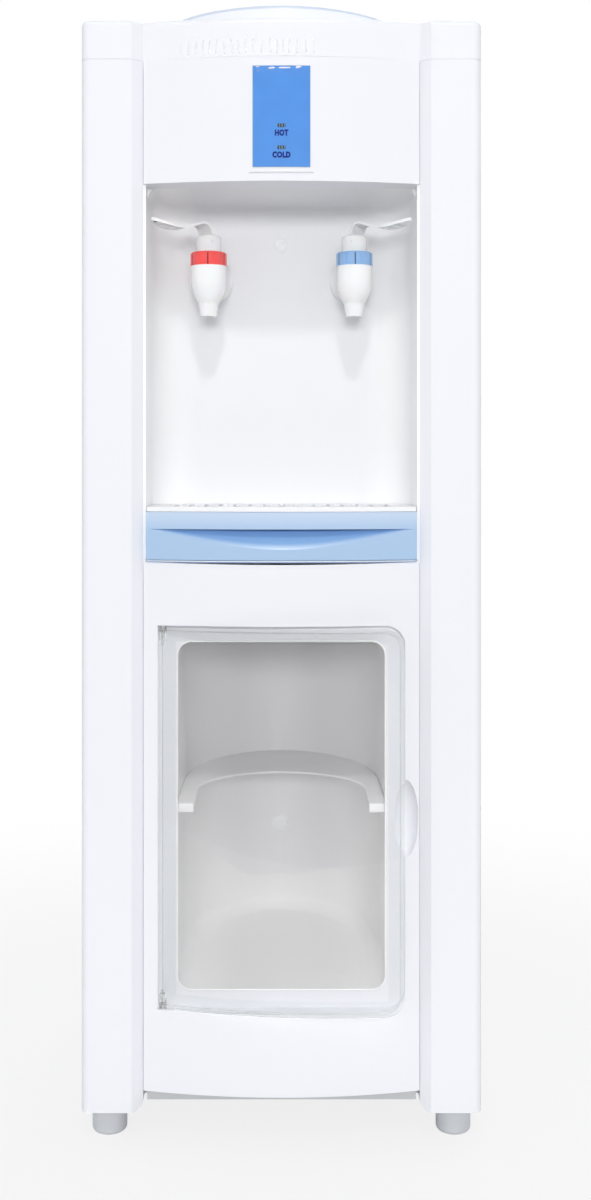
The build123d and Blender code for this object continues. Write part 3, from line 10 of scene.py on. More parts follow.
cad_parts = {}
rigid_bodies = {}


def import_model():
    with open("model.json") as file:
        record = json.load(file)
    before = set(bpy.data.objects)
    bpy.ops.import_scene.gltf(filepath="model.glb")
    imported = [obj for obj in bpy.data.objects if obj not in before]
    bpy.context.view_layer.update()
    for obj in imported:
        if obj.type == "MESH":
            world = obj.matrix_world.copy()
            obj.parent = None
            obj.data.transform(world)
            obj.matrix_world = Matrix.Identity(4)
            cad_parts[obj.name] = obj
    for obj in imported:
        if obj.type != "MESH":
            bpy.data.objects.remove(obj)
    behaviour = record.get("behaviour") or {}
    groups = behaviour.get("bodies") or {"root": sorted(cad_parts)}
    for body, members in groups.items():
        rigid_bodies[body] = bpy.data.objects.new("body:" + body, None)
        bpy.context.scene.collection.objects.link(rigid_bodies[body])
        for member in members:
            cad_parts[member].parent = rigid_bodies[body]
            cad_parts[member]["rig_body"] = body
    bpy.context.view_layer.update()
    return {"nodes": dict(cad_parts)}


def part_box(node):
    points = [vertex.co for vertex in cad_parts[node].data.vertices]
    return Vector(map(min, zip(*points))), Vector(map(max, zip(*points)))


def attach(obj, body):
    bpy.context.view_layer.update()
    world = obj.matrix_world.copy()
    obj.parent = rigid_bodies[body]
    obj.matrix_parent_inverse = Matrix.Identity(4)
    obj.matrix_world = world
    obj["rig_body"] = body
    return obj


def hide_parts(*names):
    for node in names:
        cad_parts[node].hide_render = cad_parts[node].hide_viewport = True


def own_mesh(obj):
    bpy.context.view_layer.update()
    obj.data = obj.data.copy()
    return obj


bl_info = {
    "name": "Water dispenser",
    "version": (1, 0, 0),
    "blender": (4, 5, 0),
    "location": "View3D > Sidebar > Dispenser",
    "description": "Finishes, trim and studio for a free-standing water dispenser",
    "category": "Object",
}

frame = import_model()

MM = 0.001
PHOTO_WIDTH = 591
PHOTO_HEIGHT = 1200


# Values a user would change

def colour_value(name, text, default):
    """A colour property, in scene-linear values."""
    return FloatVectorProperty(name=name, description=text, subtype="COLOR", min=0, max=1,
                               default=default)


def length_value(name, text, default):
    """A length property."""
    return FloatProperty(name=name, description=text, subtype="DISTANCE", unit="LENGTH",
                         default=default)


def share_value(name, text, default):
    """A share between nothing and all."""
    return FloatProperty(name=name, description=text, subtype="FACTOR", min=0, max=1, default=default)


def count_value(name, text, default):
    """A whole number."""
    return IntProperty(name=name, description=text, default=default)


def power_value(name, text, default):
    """The power of a lamp."""
    return FloatProperty(name=name, description=text, unit="POWER", default=default)


def photo_value(name, text, default):
    """A measure in pixels of the photo."""
    return FloatProperty(name=name, description=text, default=default)


class DispenserColours(bpy.types.PropertyGroup):
    """The colours of the dispenser's parts."""
    casing: colour_value("Casing", "Side columns and top cover", (0.875, 0.885, 0.93))
    panel: colour_value("Front panels", "The bowed front panels", (0.87, 0.88, 0.925))
    niche: colour_value("Niche", "The lining round the taps", (0.87, 0.875, 0.895))
    cabinet: colour_value("Cabinet", "The tub behind the door and its shelf", (0.85, 0.84, 0.855))
    # Painted light: the tub's lit lower part under a shadow's curved edge
    cabinet_lit_foot: colour_value("Cabinet's foot", "The tub's paler lower part", (0.885, 0.885, 0.885))
    tap: colour_value("Taps", "Tap bodies, caps and levers", (0.96, 0.965, 0.975))
    hot_ring: colour_value("Hot ring", "The ring nut of the hot tap", (0.99, 0.105, 0.1))
    cold_ring: colour_value("Cold ring", "The ring nut of the cold tap", (0.3, 0.51, 0.84))
    tray: colour_value("Drip tray", "The tray and the lower part of its front", (0.42, 0.585, 0.81))
    # Painted light: the tray's front is paler towards its top, as if lit more from above
    tray_top_light: colour_value("Tray's top", "The upper part of the tray's front", (0.57, 0.695, 0.87))
    # Painted shade: the scoop under the tray's lip is painted a deeper blue
    scoop: colour_value("Finger scoop", "The tray's blue in its scoop", (0.225, 0.41, 0.715))
    # Painted highlight: the bead under the tray's front is near white to stand for its bright edge
    tray_lip: colour_value("Tray lip", "The bright edge under the tray's front", (0.86, 0.92, 0.98))
    # Painted shade: a blue strip that stands for the shaded gap under the tray's front
    gap_shade: colour_value("Tray apron", "The dark edge behind that lip", (0.3, 0.46, 0.8))
    grille: colour_value("Grille", "The grille on the tray", (0.93, 0.935, 0.945))
    sheet: colour_value("Indicator sheet", "The printed sheet with the lamps", (0.092, 0.3, 0.78))
    words: colour_value("Words", "The words under the lamps", (0.004, 0.01, 0.2))
    collar: colour_value("Collar rim", "The rim of the bottle's ring", (0.62, 0.69, 0.81))
    collar_wall: colour_value("Collar wall", "The collar below its rim", (0.86, 0.88, 0.95))
    feet: colour_value("Feet", "The four feet", (0.63, 0.65, 0.68))
    base: colour_value("Base", "The pan under the casing", (0.6, 0.61, 0.63))
    # Painted shade: the door is darkened round the opening, where the recess behind it lies in shade
    margin: colour_value("Door margin", "The door's tint round the opening", (0.925, 0.938, 0.93))
    clear: colour_value("Clear door", "The tint of the clear door", (1, 1, 1))


class DispenserTrim(bpy.types.PropertyGroup):
    """Sizes of the small pieces that dress the model."""
    lip_radius: length_value("Opening lip", "Radius of the bead round the cabinet opening", 0.9 * MM)
    opening_width: length_value("Opening width", "Width of the cabinet opening", 177.2 * MM)
    opening_height: length_value("Opening height", "Height of the cabinet opening", 297 * MM)
    opening_rise: length_value("Opening rise", "From the door's foot up to the opening", 14 * MM)
    opening_corner: length_value("Opening corner", "Corner radius of the cabinet opening", 12 * MM)
    rim_inset: length_value("Door rim inset", "From the door's edge in to its moulded rim", 3.4 * MM)
    rim_radius: length_value("Door rim", "Radius of the door's moulded rim", 0.55 * MM)
    lever_rim: length_value("Lever rim", "Width of the raised rim round a lever's blade", 2.0 * MM)
    lever_channel: length_value("Lever channel", "How deep the blade lies between its rims", 0.8 * MM)
    scoop_lip: length_value("Scoop lip", "From the tray's bottom up to its scoop's lip", 27.4 * MM)
    bow_half: length_value("Bow half width", "Half the width of the front panels' bow", 117.5 * MM)
    bow_rise: length_value("Bow rise", "How far the bow's middle stands before its ends", 14 * MM)
    word_height: length_value("Word height", "Height of the capitals under the lamps", 4.5 * MM)
    word_weight: length_value("Word weight", "How much the words' strokes are thickened", 0.42 * MM)
    word_relief: length_value("Word relief", "How far the print stands off the sheet", 0.06 * MM)
    mark_radius: length_value("Gate mark", "Radius of the mould mark in the cabinet", 9 * MM)
    mark_height: length_value("Gate mark height", "Height of that mark over the floor", 212 * MM)
    niche_mark_drop: length_value("Niche mark drop", "From the niche's ceiling to its mark", 36.7 * MM)
    film_ripple: length_value("Film ripple", "Height of the ripples in the cover's film", 0.1 * MM)
    film_pitch: length_value("Film pitch", "Distance between two ripples in the film", 6.2 * MM)
    # Painted light: below this the cabinet's back is lightened, as the lit part under a shadow's edge
    light_pool_level: length_value("Pale level", "Height under which the cabinet is lighter", 160 * MM)
    spring_wire: length_value("Spring wire", "Radius of the wire of a tap's spring", 0.45 * MM)
    spring_turns: count_value("Spring turns", "Turns of a tap's spring", 7)
    spring_press: length_value("Spring press", "How far a lever presses its spring", 1.6 * MM)
    ring_grooves: count_value("Ring grooves", "Grip grooves round a tap's ring nut", 6)
    tap_round: length_value("Tap rounding", "Radius of the soft edges on the taps", 0.7 * MM)


class DispenserStage(bpy.types.PropertyGroup):
    """Camera, lamps and floor."""
    camera_distance: length_value("Camera distance", "From the columns' front to the camera", 1.2)
    camera_height: length_value("Camera height", "Height of the camera over the floor", 0.572)
    camera_side: length_value("Camera side", "From the middle right to the camera", 1.3 * MM)
    focal_pixels: photo_value("Focal length", "Focal length in photo pixels", 1416)
    axis_column: photo_value("Axis column", "Photo column that the camera points at", 283)
    axis_row: photo_value("Axis row", "Photo row that the camera points at", 470)
    key_power: power_value("Key lamp", "Power of the lamp in front", 30)
    strip_power: power_value("Strip lamp", "Power of the wide strip in front", 28)
    top_power: power_value("Top lamp", "Power of the lamp high above the front", 10)
    fill_power: power_value("Fill lamps", "Power of each lamp at the sides", 3.5)
    back_power: power_value("Back lamp", "Power of the lamp behind", 22)
    sky_level: share_value("Sky level", "Brightness of the even light from all round", 0.45)
    low_level: share_value("Low level", "Share of that light that comes from below", 0.2)
    room_level: share_value("Room level", "Brightness of the room that glossy parts mirror", 0.2)
    paper_reach: length_value("Paper reach", "How far the white floor runs before the object", 0.88)


# Small tools for node trees

def feed(tree, node, inputs):
    """Set a node's inputs, given by name or index, or link sockets to them."""
    for key, value in inputs.items():
        if isinstance(value, bpy.types.NodeSocket):
            tree.links.new(value, node.inputs[key])
        else:
            node.inputs[key].default_value = value


def add(tree, kind, inputs=None, **settings):
    """Add a node with its settings and its inputs."""
    node = tree.nodes.new(kind)
    for key, value in settings.items():
        setattr(node, key, value)
    feed(tree, node, inputs or {})
    return node


def calc(tree, operation, *values):
    """One Math node's result."""
    return add(tree, "ShaderNodeMath", dict(enumerate(values)), operation=operation).outputs[0]


def seen_rays(tree, *kinds):
    """1 for rays that reach the camera without a matt bounce on their way, of the kinds given."""
    path = add(tree, "ShaderNodeLightPath")
    share = path.outputs["Is Camera Ray"]
    for kind in kinds:
        share = calc(tree, "MAXIMUM", share, path.outputs[kind])
    return calc(tree, "MULTIPLY", share, calc(tree, "LESS_THAN", path.outputs["Diffuse Depth"], 0.5))


def spread(tree, value, low, high, to_low=0, to_high=1):
    """Map a value's span from low..high smoothly to to_low..to_high."""
    inputs = {"Value": value, "From Min": low, "From Max": high, "To Min": to_low, "To Max": to_high}
    return add(tree, "ShaderNodeMapRange", inputs, interpolation_type="SMOOTHSTEP").outputs["Result"]


def place(tree):
    """Object coordinates, in metres in the frame of the whole model."""
    return add(tree, "ShaderNodeTexCoord").outputs["Object"]


def axes_of(tree):
    """Object coordinates as x, y and z."""
    return add(tree, "ShaderNodeSeparateXYZ", {0: place(tree)}).outputs


def beyond(tree, axes, middle, half):
    """How far a place lies outside an upright rectangle; less than nothing inside it."""
    sides = []
    for index in (0, 2):
        offset = calc(tree, "ABSOLUTE", calc(tree, "SUBTRACT", axes[index], middle[index]))
        sides.append(calc(tree, "SUBTRACT", offset, half[index]))
    return calc(tree, "MAXIMUM", *sides)


def stretched(tree, vector, scale):
    """Coordinates scaled along each axis."""
    return add(tree, "ShaderNodeMapping", {"Vector": vector, "Scale": scale}).outputs[0]


def noise(tree, vector, scale, detail=2.0, rough=0.5):
    """Noise at a scale per metre."""
    inputs = {"Vector": vector, "Scale": scale, "Detail": detail, "Roughness": rough}
    return add(tree, "ShaderNodeTexNoise", inputs).outputs["Fac"]


def blend_colours(tree, share, low, high):
    """Mix two colours, each a socket or three values."""
    ends = [end if isinstance(end, bpy.types.NodeSocket) else (*end[:3], 1) for end in (low, high)]
    return add(tree, "ShaderNodeMix", {0: share, 6: ends[0], 7: ends[1]}, data_type="RGBA").outputs[2]


def shade(colour, share):
    """A colour made lighter or darker."""
    return tuple(min(channel * share, 1) for channel in colour[:3])


def vary_colour(tree, shader, share, colour, low, high):
    """Let the shader's colour run from low to high times its brightness, by a share."""
    ends = shade(colour, low), shade(colour, high)
    feed(tree, shader, {"Base Color": blend_colours(tree, share, *ends)})


def paint_over(tree, shader, share, colour):
    """Lay a colour over the shader's own, by a share."""
    plain = shader.inputs["Base Color"].links[0].from_socket
    feed(tree, shader, {"Base Color": blend_colours(tree, share, plain, colour)})


def new_material(name):
    """A material with its tree, its main shader and its coordinates."""
    material = bpy.data.materials.new(name)
    material.use_nodes = True
    tree = material.node_tree
    return material, tree, tree.nodes["Principled BSDF"], place(tree)


def mix_shaders(tree, share, first, second):
    """A node that goes from one shader to another, by a share."""
    return add(tree, "ShaderNodeMixShader", {0: share, 1: first.outputs[0], 2: second.outputs[0]})


def show(tree, shader, output="Material Output"):
    """Make a shader what the material or the world shows."""
    tree.links.new(shader.outputs[0], tree.nodes[output].inputs["Surface"])


def relief(tree, shader, height, distance, strength=1.0, before=None):
    """Let a height bump the shader; before is a bump that comes first."""
    inputs = {"Height": height, "Distance": distance, "Strength": strength}
    if before is not None:
        inputs["Normal"] = before
    bump = add(tree, "ShaderNodeBump", inputs).outputs[0]
    feed(tree, shader, {"Normal": bump})
    return bump


# Finishes. Scales are per metre, heights in metres.

CLOUD_SCALE = 9
GLOSS_SCALE = 25
GLOSS_SPAN = 0.06
PEEL_SCALE = 160
GRAIN_SCALE = 2600
GRAIN_HEIGHT = 0.000004
SCRATCH_DEPTH = 0.00002
COAT_ROUGHNESS = 0.12
CLEAR_ROUGHNESS = 0.04
CLEAR_WAVE = 0.00006
SOFT_REACH = (0.004, 0.003, 0.0025)  # how far red, green and blue light go under the skin


def plastic(name, colour, roughness=0.35, mottle=0.008, peel=0.00001, coat=0.0, soft=0.0):
    """Moulded plastic: faint clouds in the colour, orange peel and a fine grain."""
    material, tree, shader, spot = new_material(name)
    vary_colour(tree, shader, noise(tree, spot, CLOUD_SCALE, 3), colour, 1 - mottle, 1 + mottle / 2)
    least = roughness - GLOSS_SPAN / 2
    gloss = calc(tree, "MULTIPLY_ADD", noise(tree, spot, GLOSS_SCALE), GLOSS_SPAN, least)
    first = relief(tree, shader, noise(tree, spot, PEEL_SCALE, 1), peel)
    relief(tree, shader, noise(tree, spot, GRAIN_SCALE), GRAIN_HEIGHT, before=first)
    feed(tree, shader, {"Roughness": gloss, "Coat Weight": coat, "Coat Roughness": COAT_ROUGHNESS})
    if soft:
        feed(tree, shader, {"Subsurface Weight": soft, "Subsurface Radius": SOFT_REACH})
    return material


def open_finish(material):
    """A finish's tree, main shader and x, y and z, to paint over it."""
    tree = material.node_tree
    return tree, tree.nodes["Principled BSDF"], axes_of(tree)


# Painted light on the two linings: paler sides, and in the cabinet a paler lower part and floor

PAINTED_SIDE_LIGHT = (0.99, 0.99, 0.995)
PAINTED_FLOOR_LIGHT = (0.99, 0.99, 0.99)
NICHE_LIT_SIDES = (70 * MM, 104 * MM)  # where the paler sides start and end, from the middle
CABINET_LIT_SIDES = (32 * MM, 88 * MM)
LIT_EDGE_LEFT = (-25 * MM, -96 * MM)  # where the pale level's curve runs up at each side
LIT_EDGE_RIGHT = (10 * MM, 65 * MM)
LIT_EDGE_RISES = (52 * MM, 14 * MM)  # how far it runs up, at the left and the right


def painted_side_light(material, near, far):
    """Paint light on a lining: lighten it towards its two sides."""
    tree, shader, axes = open_finish(material)
    paint_over(tree, shader, spread(tree, calc(tree, "ABSOLUTE", axes[0]), near, far), PAINTED_SIDE_LIGHT)


def painted_light_pool(material, level, floor_level, colour):
    """Paint light on a lining under a curve that sags in its middle, the edge of a shadow, and more
    painted light on its floor.
    """
    tree, shader, axes = open_finish(material)
    left_rise, right_rise = LIT_EDGE_RISES
    left = spread(tree, axes[0], *LIT_EDGE_LEFT, 0, left_rise)
    right = spread(tree, axes[0], *LIT_EDGE_RIGHT, level, level + right_rise)
    over = calc(tree, "SUBTRACT", axes[2], calc(tree, "ADD", left, right))
    paint_over(tree, shader, spread(tree, over, 2 * MM, -2 * MM), colour)
    floor = spread(tree, axes[2], floor_level + 5 * MM, floor_level + 1 * MM)
    paint_over(tree, shader, floor, PAINTED_FLOOR_LIGHT)


def metal(name, colour, roughness=0.3, brush=(1.0, 1.0, 60.0)):
    """Bare or plated metal with drawn lines."""
    material, tree, shader, spot = new_material(name)
    lines = noise(tree, stretched(tree, spot, brush), 70, 4, 0.6)
    vary_colour(tree, shader, lines, colour, 0.86, 1.05)
    rough = spread(tree, lines, 0.25, 0.75, roughness - 0.08, roughness + 0.12)
    feed(tree, shader, {"Roughness": rough, "Metallic": 1})
    relief(tree, shader, lines, SCRATCH_DEPTH)
    return material


def spangled(name, colour):
    """Galvanised sheet: large faint crystals."""
    material, tree, shader, spot = new_material(name)
    cells = add(tree, "ShaderNodeTexVoronoi", {"Vector": spot, "Scale": 90}).outputs["Color"]
    level = add(tree, "ShaderNodeRGBToBW", {"Color": cells}).outputs[0]
    vary_colour(tree, shader, level, colour, 0.85, 1.08)
    feed(tree, shader, {"Roughness": spread(tree, level, 0, 1, 0.32, 0.5), "Metallic": 0.9})
    relief(tree, shader, noise(tree, spot, 300), SCRATCH_DEPTH)
    return material


def foam(name, colour):
    """Expanded foam: pressed beads."""
    material, tree, shader, spot = new_material(name)
    cells = add(tree, "ShaderNodeTexVoronoi", {"Vector": spot, "Scale": 260}).outputs["Distance"]
    vary_colour(tree, shader, cells, colour, 1.04, 0.82)
    feed(tree, shader, {"Roughness": 0.9})
    relief(tree, shader, cells, 0.0006, 0.8)
    return material


def rubber(name, colour):
    """Rubber or silicone with a dusty bloom."""
    material, tree, shader, spot = new_material(name)
    bloom = noise(tree, spot, 45, 4)
    vary_colour(tree, shader, bloom, colour, 0.9, 1.15)
    feed(tree, shader, {"Roughness": spread(tree, bloom, 0.3, 0.7, 0.6, 0.8), "Sheen Weight": 0.1})
    relief(tree, shader, noise(tree, spot, 900), SCRATCH_DEPTH)
    return material


def circuit_board(name, colour):
    """Solder mask with copper tracks under it."""
    material, tree, shader, spot = new_material(name)
    inputs = {"Vector": stretched(tree, spot, (1, 1, 1.7)), "Scale": 130, "Mortar Size": 0.06}
    track = add(tree, "ShaderNodeTexBrick", inputs).outputs["Fac"]
    vary_colour(tree, shader, track, colour, 1, 2.2)
    feed(tree, shader, {"Roughness": 0.3})
    relief(tree, shader, track, 0.00005)
    return material


def clear_plastic(name, tint, margin_shade, window):
    """Clear moulded plastic that lets the lamps through, with slow waves in its surface.

    A window is a middle, a half size and the width of its edge; outside it the door takes the margin's
    colour, a painted shade of the recess behind it.
    """
    material, tree, shader, spot = new_material(name)
    middle, half, soft = window
    margin = spread(tree, beyond(tree, axes_of(tree), middle, half), 0, soft)
    rough = calc(tree, "MULTIPLY", noise(tree, spot, 60, 3), CLEAR_ROUGHNESS)
    feed(tree, shader, {"Base Color": blend_colours(tree, margin, tint, margin_shade),
                        "Roughness": rough, "Transmission Weight": 1, "IOR": 1.4})
    relief(tree, shader, noise(tree, spot, 14, 1), CLEAR_WAVE)
    shadow = add(tree, "ShaderNodeLightPath").outputs["Is Shadow Ray"]
    show(tree, mix_shaders(tree, shadow, shader, add(tree, "ShaderNodeBsdfTransparent")))
    return material


def film(name):
    """Protective film: clear where it lies flat, glossy on its crests, where opaque white is a painted
    highlight.
    """
    material, tree, shader, spot = new_material(name)
    feed(tree, shader, {"Base Color": (0.97, 0.98, 1, 1), "Roughness": 0.12})
    relief(tree, shader, noise(tree, stretched(tree, spot, (1, 1, 0.3)), 500), 0.00005)
    crest = add(tree, "ShaderNodeAttribute", attribute_name="crest").outputs["Fac"]
    # Painted highlight: the crests turn opaque white where lamps would glint on them
    crest_highlight = spread(tree, crest, 0.12, 0.8, 0, 0.85)
    show(tree, mix_shaders(tree, crest_highlight, add(tree, "ShaderNodeBsdfTransparent"), shader))
    return material


def sheet_print(name, colour, low, high):
    """The printed indicator sheet: glossy, a little wavy, with a painted grey shadow along its edge.
    """
    material, tree, shader, spot = new_material(name)
    axes = axes_of(tree)
    vary_colour(tree, shader, noise(tree, spot, 55, 3), colour, 0.92, 1.08)
    edge_shadow_width = 0.5 * MM
    # Painted shadow: a grey line round the sheet's edge
    rim = spread(tree, beyond(tree, axes, (low + high) / 2, (high - low) / 2), -edge_shadow_width, 0)
    paint_over(tree, shader, rim, (0.3, 0.36, 0.42))
    feed(tree, shader, {"Roughness": 0.22, "Coat Weight": 0.6, "Coat Roughness": 0.06})
    lift = calc(tree, "MULTIPLY", noise(tree, stretched(tree, spot, (1.6, 1, 1)), 130),
                spread(tree, axes[2], high.z - 9 * MM, high.z - 2 * MM, 0.1, 1))
    relief(tree, shader, lift, 0.0006, 0.8)
    return material


def lamp_lens(name, colour):
    """A grey-green window over a lamp, with three dark bars behind it."""
    material, tree, shader, spot = new_material(name)
    inputs = {"Vector": spot, "Scale": 150, "Phase Offset": 1.57}
    bars = add(tree, "ShaderNodeTexWave", inputs, wave_type="BANDS", bands_direction="X")
    vary_colour(tree, shader, spread(tree, bars.outputs["Fac"], 0.35, 0.6), colour, 0.25, 1)
    feed(tree, shader, {"Roughness": 0.15, "Coat Weight": 0.5})
    return material


def give(material, *names):
    """Put one material on CAD nodes or on new pieces."""
    for name in names:
        data = (frame["nodes"].get(name) or bpy.data.objects[name]).data
        data.materials.clear()
        data.materials.append(material)


# Small tools for meshes

MERGE = 0.01 * MM


def pick(piece):
    """Select one object alone and make it active."""
    bpy.ops.object.select_all(action="DESELECT")
    piece.select_set(True)
    bpy.context.view_layer.objects.active = piece


def apply_place():
    """Put the picked object's place, turn and scale into its mesh."""
    bpy.ops.object.transform_apply(location=True, rotation=True, scale=True)


def bring(name, data):
    """A new object in the scene, picked."""
    piece = bpy.data.objects.new(name, data)
    bpy.context.scene.collection.objects.link(piece)
    pick(piece)
    return piece


def merged_copy(node, name):
    """A copy of a CAD node in edit mode, with its loose triangles joined."""
    piece = bring(name, frame["nodes"][node].data.copy())
    bpy.ops.object.mode_set(mode="EDIT")
    bpy.ops.mesh.select_all(action="SELECT")
    bpy.ops.mesh.remove_doubles(threshold=MERGE)
    return piece


def strike(node, start):
    """Where a line from start towards the back meets a CAD node."""
    hit, spot = frame["nodes"][node].ray_cast(Vector(start), Vector((0, 1, 0)))[:2]
    if not hit:
        raise RuntimeError(f"{node} has no surface behind {tuple(start)}")
    return spot


def start_piece(name, body):
    """Name the active object, and note the body it rides on."""
    piece = bpy.context.object
    piece.name = name
    piece.data.name = name
    piece["rides"] = body
    return piece


def settle(piece, material, smooth_angle=35):
    """Apply a piece's place, give it its material and let it ride on its body."""
    pick(piece)
    apply_place()
    bpy.ops.object.shade_smooth_by_angle(angle=math.radians(smooth_angle))
    piece.data.materials.clear()
    piece.data.materials.append(material)
    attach(piece, piece["rides"])


ROUND_CORNERS = {"limit_method": "ANGLE", "use_clamp_overlap": True}


def modify(piece, kind, **settings):
    """Add a modifier and apply it."""
    modifier = piece.modifiers.new(kind.title(), kind)
    for key, value in settings.items():
        setattr(modifier, key, value)
    pick(piece)
    bpy.ops.object.modifier_apply(modifier=modifier.name)


def soft_copy(node, name, radius, segments=3, angle=40):
    """A CAD node's shape with its sharp edges rounded, standing for the node."""
    piece = merged_copy(node, name)
    bpy.ops.mesh.dissolve_limited(angle_limit=math.radians(0.6))
    bpy.ops.object.mode_set(mode="OBJECT")
    if radius:
        modify(piece, "BEVEL", width=radius, segments=segments, angle_limit=math.radians(angle),
               miter_outer="MITER_ARC", **ROUND_CORNERS)
    piece["rides"] = frame["nodes"][node]["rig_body"]
    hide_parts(node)
    return piece


def select_faces(piece, test):
    """In edit mode, select only the faces that pass a test of their middle and normal."""
    bpy.ops.mesh.select_mode(type="FACE")
    bpy.ops.mesh.select_all(action="DESELECT")
    mesh = bmesh.from_edit_mesh(piece.data)
    for face in mesh.faces:
        if test(face.calc_center_median(), face.normal):
            face.select_set(True)
    mesh.select_flush_mode()
    bmesh.update_edit_mesh(piece.data)


def tube(piece, radius, resolution=4):
    """Turn a piece made of edges into a bead of round section along them."""
    pick(piece)
    bpy.ops.object.convert(target="CURVE")
    curve = bpy.context.object
    curve.data.bevel_depth = radius
    curve.data.bevel_resolution = resolution
    bpy.ops.object.convert(target="MESH")
    return bpy.context.object


def drape(piece, node, lift):
    """Lay an upright piece on the front of a CAD node; lift(x, z) is how far it stands off."""
    for vertex in piece.data.vertices:
        x, y, z = vertex.co
        vertex.co.y = strike(node, (x, y - 0.5, z)).y - lift(x, z)


def film_grid(name, low, high, columns, rows):
    """A flat grid of film between two corners, facing the front."""
    bpy.ops.object.select_all(action="DESELECT")
    bpy.ops.mesh.primitive_grid_add(x_subdivisions=columns, y_subdivisions=rows, size=1,
                                    location=(low + high) / 2, rotation=(math.radians(90), 0, 0))
    bpy.context.object.scale = (high.x - low.x, high.z - low.z, 1)
    apply_place()
    return start_piece(name, "root")


def smooth_step(value, low, high):
    """0 below low, 1 above high, and a smooth run between."""
    share = min(max((value - low) / (high - low), 0), 1)
    return share * share * (3 - 2 * share)


def store_crests(piece, crest):
    """Keep how much of a film's crest each vertex has."""
    values = piece.data.attributes.new("crest", "FLOAT", "POINT")
    for vertex in piece.data.vertices:
        values.data[vertex.index].value = crest(vertex.co.x, vertex.co.z)


class DispenserOperator(bpy.types.Operator):
    """What the dispenser's operators share."""
    bl_options = {"REGISTER", "UNDO"}

    @property
    def colours(self):
        return bpy.context.scene.dispenser_colours

    @property
    def trim(self):
        return bpy.context.scene.dispenser_trim


# Pieces

class DISPENSER_OT_casing(DispenserOperator):
    """Finish the columns, cover, front panels, base and feet"""
    bl_idname = "dispenser.casing"
    bl_label = "Casing"

    def execute(self, context):
        colours = self.colours
        casing = plastic("casing_white", colours.casing, 0.38)
        give(casing, "left_side_panel", "right_side_panel", "top_cover")
        panel = plastic("panel_white", colours.panel, 0.34, coat=0.1)
        give(panel, "upper_front_panel", "lower_front_panel")
        give(plastic("base_grey", colours.base, 0.5, 0.06, 0.0001), "base_pan")
        give(rubber("foot_grey", colours.feet), "feet")
        return {"FINISHED"}


FILM_LEFT = -92 * MM
FILM_RIGHT = 52 * MM
FILM_BOTTOM = 1.2 * MM  # over the cover's lower edge, like the next
FILM_TOP = 18 * MM
FILM_GAP = 0.08 * MM


class DISPENSER_OT_cover_film(DispenserOperator):
    """Lay the strip of protective film on the cover's front, with the ripples it was pulled into"""
    bl_idname = "dispenser.cover_film"
    bl_label = "Cover film"

    def execute(self, context):
        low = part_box("top_cover")[0]
        bottom = low.z + FILM_BOTTOM
        top = low.z + FILM_TOP
        corners = Vector((FILM_LEFT, low.y, bottom)), Vector((FILM_RIGHT, low.y, top))
        piece = film_grid("cover_film", *corners, 430, 20)
        pitch = self.trim.film_pitch

        def crest(x, z):
            up = (z - bottom) / (top - bottom)
            lean = 1.6 * MM * math.sin(x / (9 * MM)) * up
            wander = 2.2 * MM * noise_3d.noise(Vector((x * 60, 0, up * 0.6)))
            wave = math.sin(2 * math.pi * (x + lean + wander) / pitch)
            strength = 0.62 + 0.5 * noise_3d.noise(Vector((x * 130, 3, up * 1.5)))
            height = smooth_step(up, 0, 0.16 + 0.1 * math.sin(x * 400)) * smooth_step(1 - up, 0, 0.3)
            ends = smooth_step(x, FILM_LEFT, FILM_LEFT + 14 * MM)
            ends *= smooth_step(-x, -FILM_RIGHT, 44 * MM - FILM_RIGHT)
            return max(wave, 0) ** 2.2 * strength * height * ends

        drape(piece, "top_cover", lambda x, z: FILM_GAP + self.trim.film_ripple * crest(x, z))
        store_crests(piece, crest)
        settle(piece, film("cover_film"), 180)
        return {"FINISHED"}


class DISPENSER_OT_niche(DispenserOperator):
    """Finish the niche's lining"""
    bl_idname = "dispenser.niche"
    bl_label = "Niche"

    def execute(self, context):
        white = plastic("niche_white", self.colours.niche, 0.3, coat=0.15)
        # Painted light: the niche's sides are lightened
        painted_side_light(white, *NICHE_LIT_SIDES)
        give(white, "niche_liner")
        return {"FINISHED"}


CAPITAL_SHARE = 0.7  # of the font's size
LENS_HALF = 1.5 * MM
WORD_DROP = 6.4 * MM  # from a window's middle down to its word
WORD_SPACING = 1.12
CREASE_GAP = 0.04 * MM
CREASE_HEIGHT = 0.16 * MM


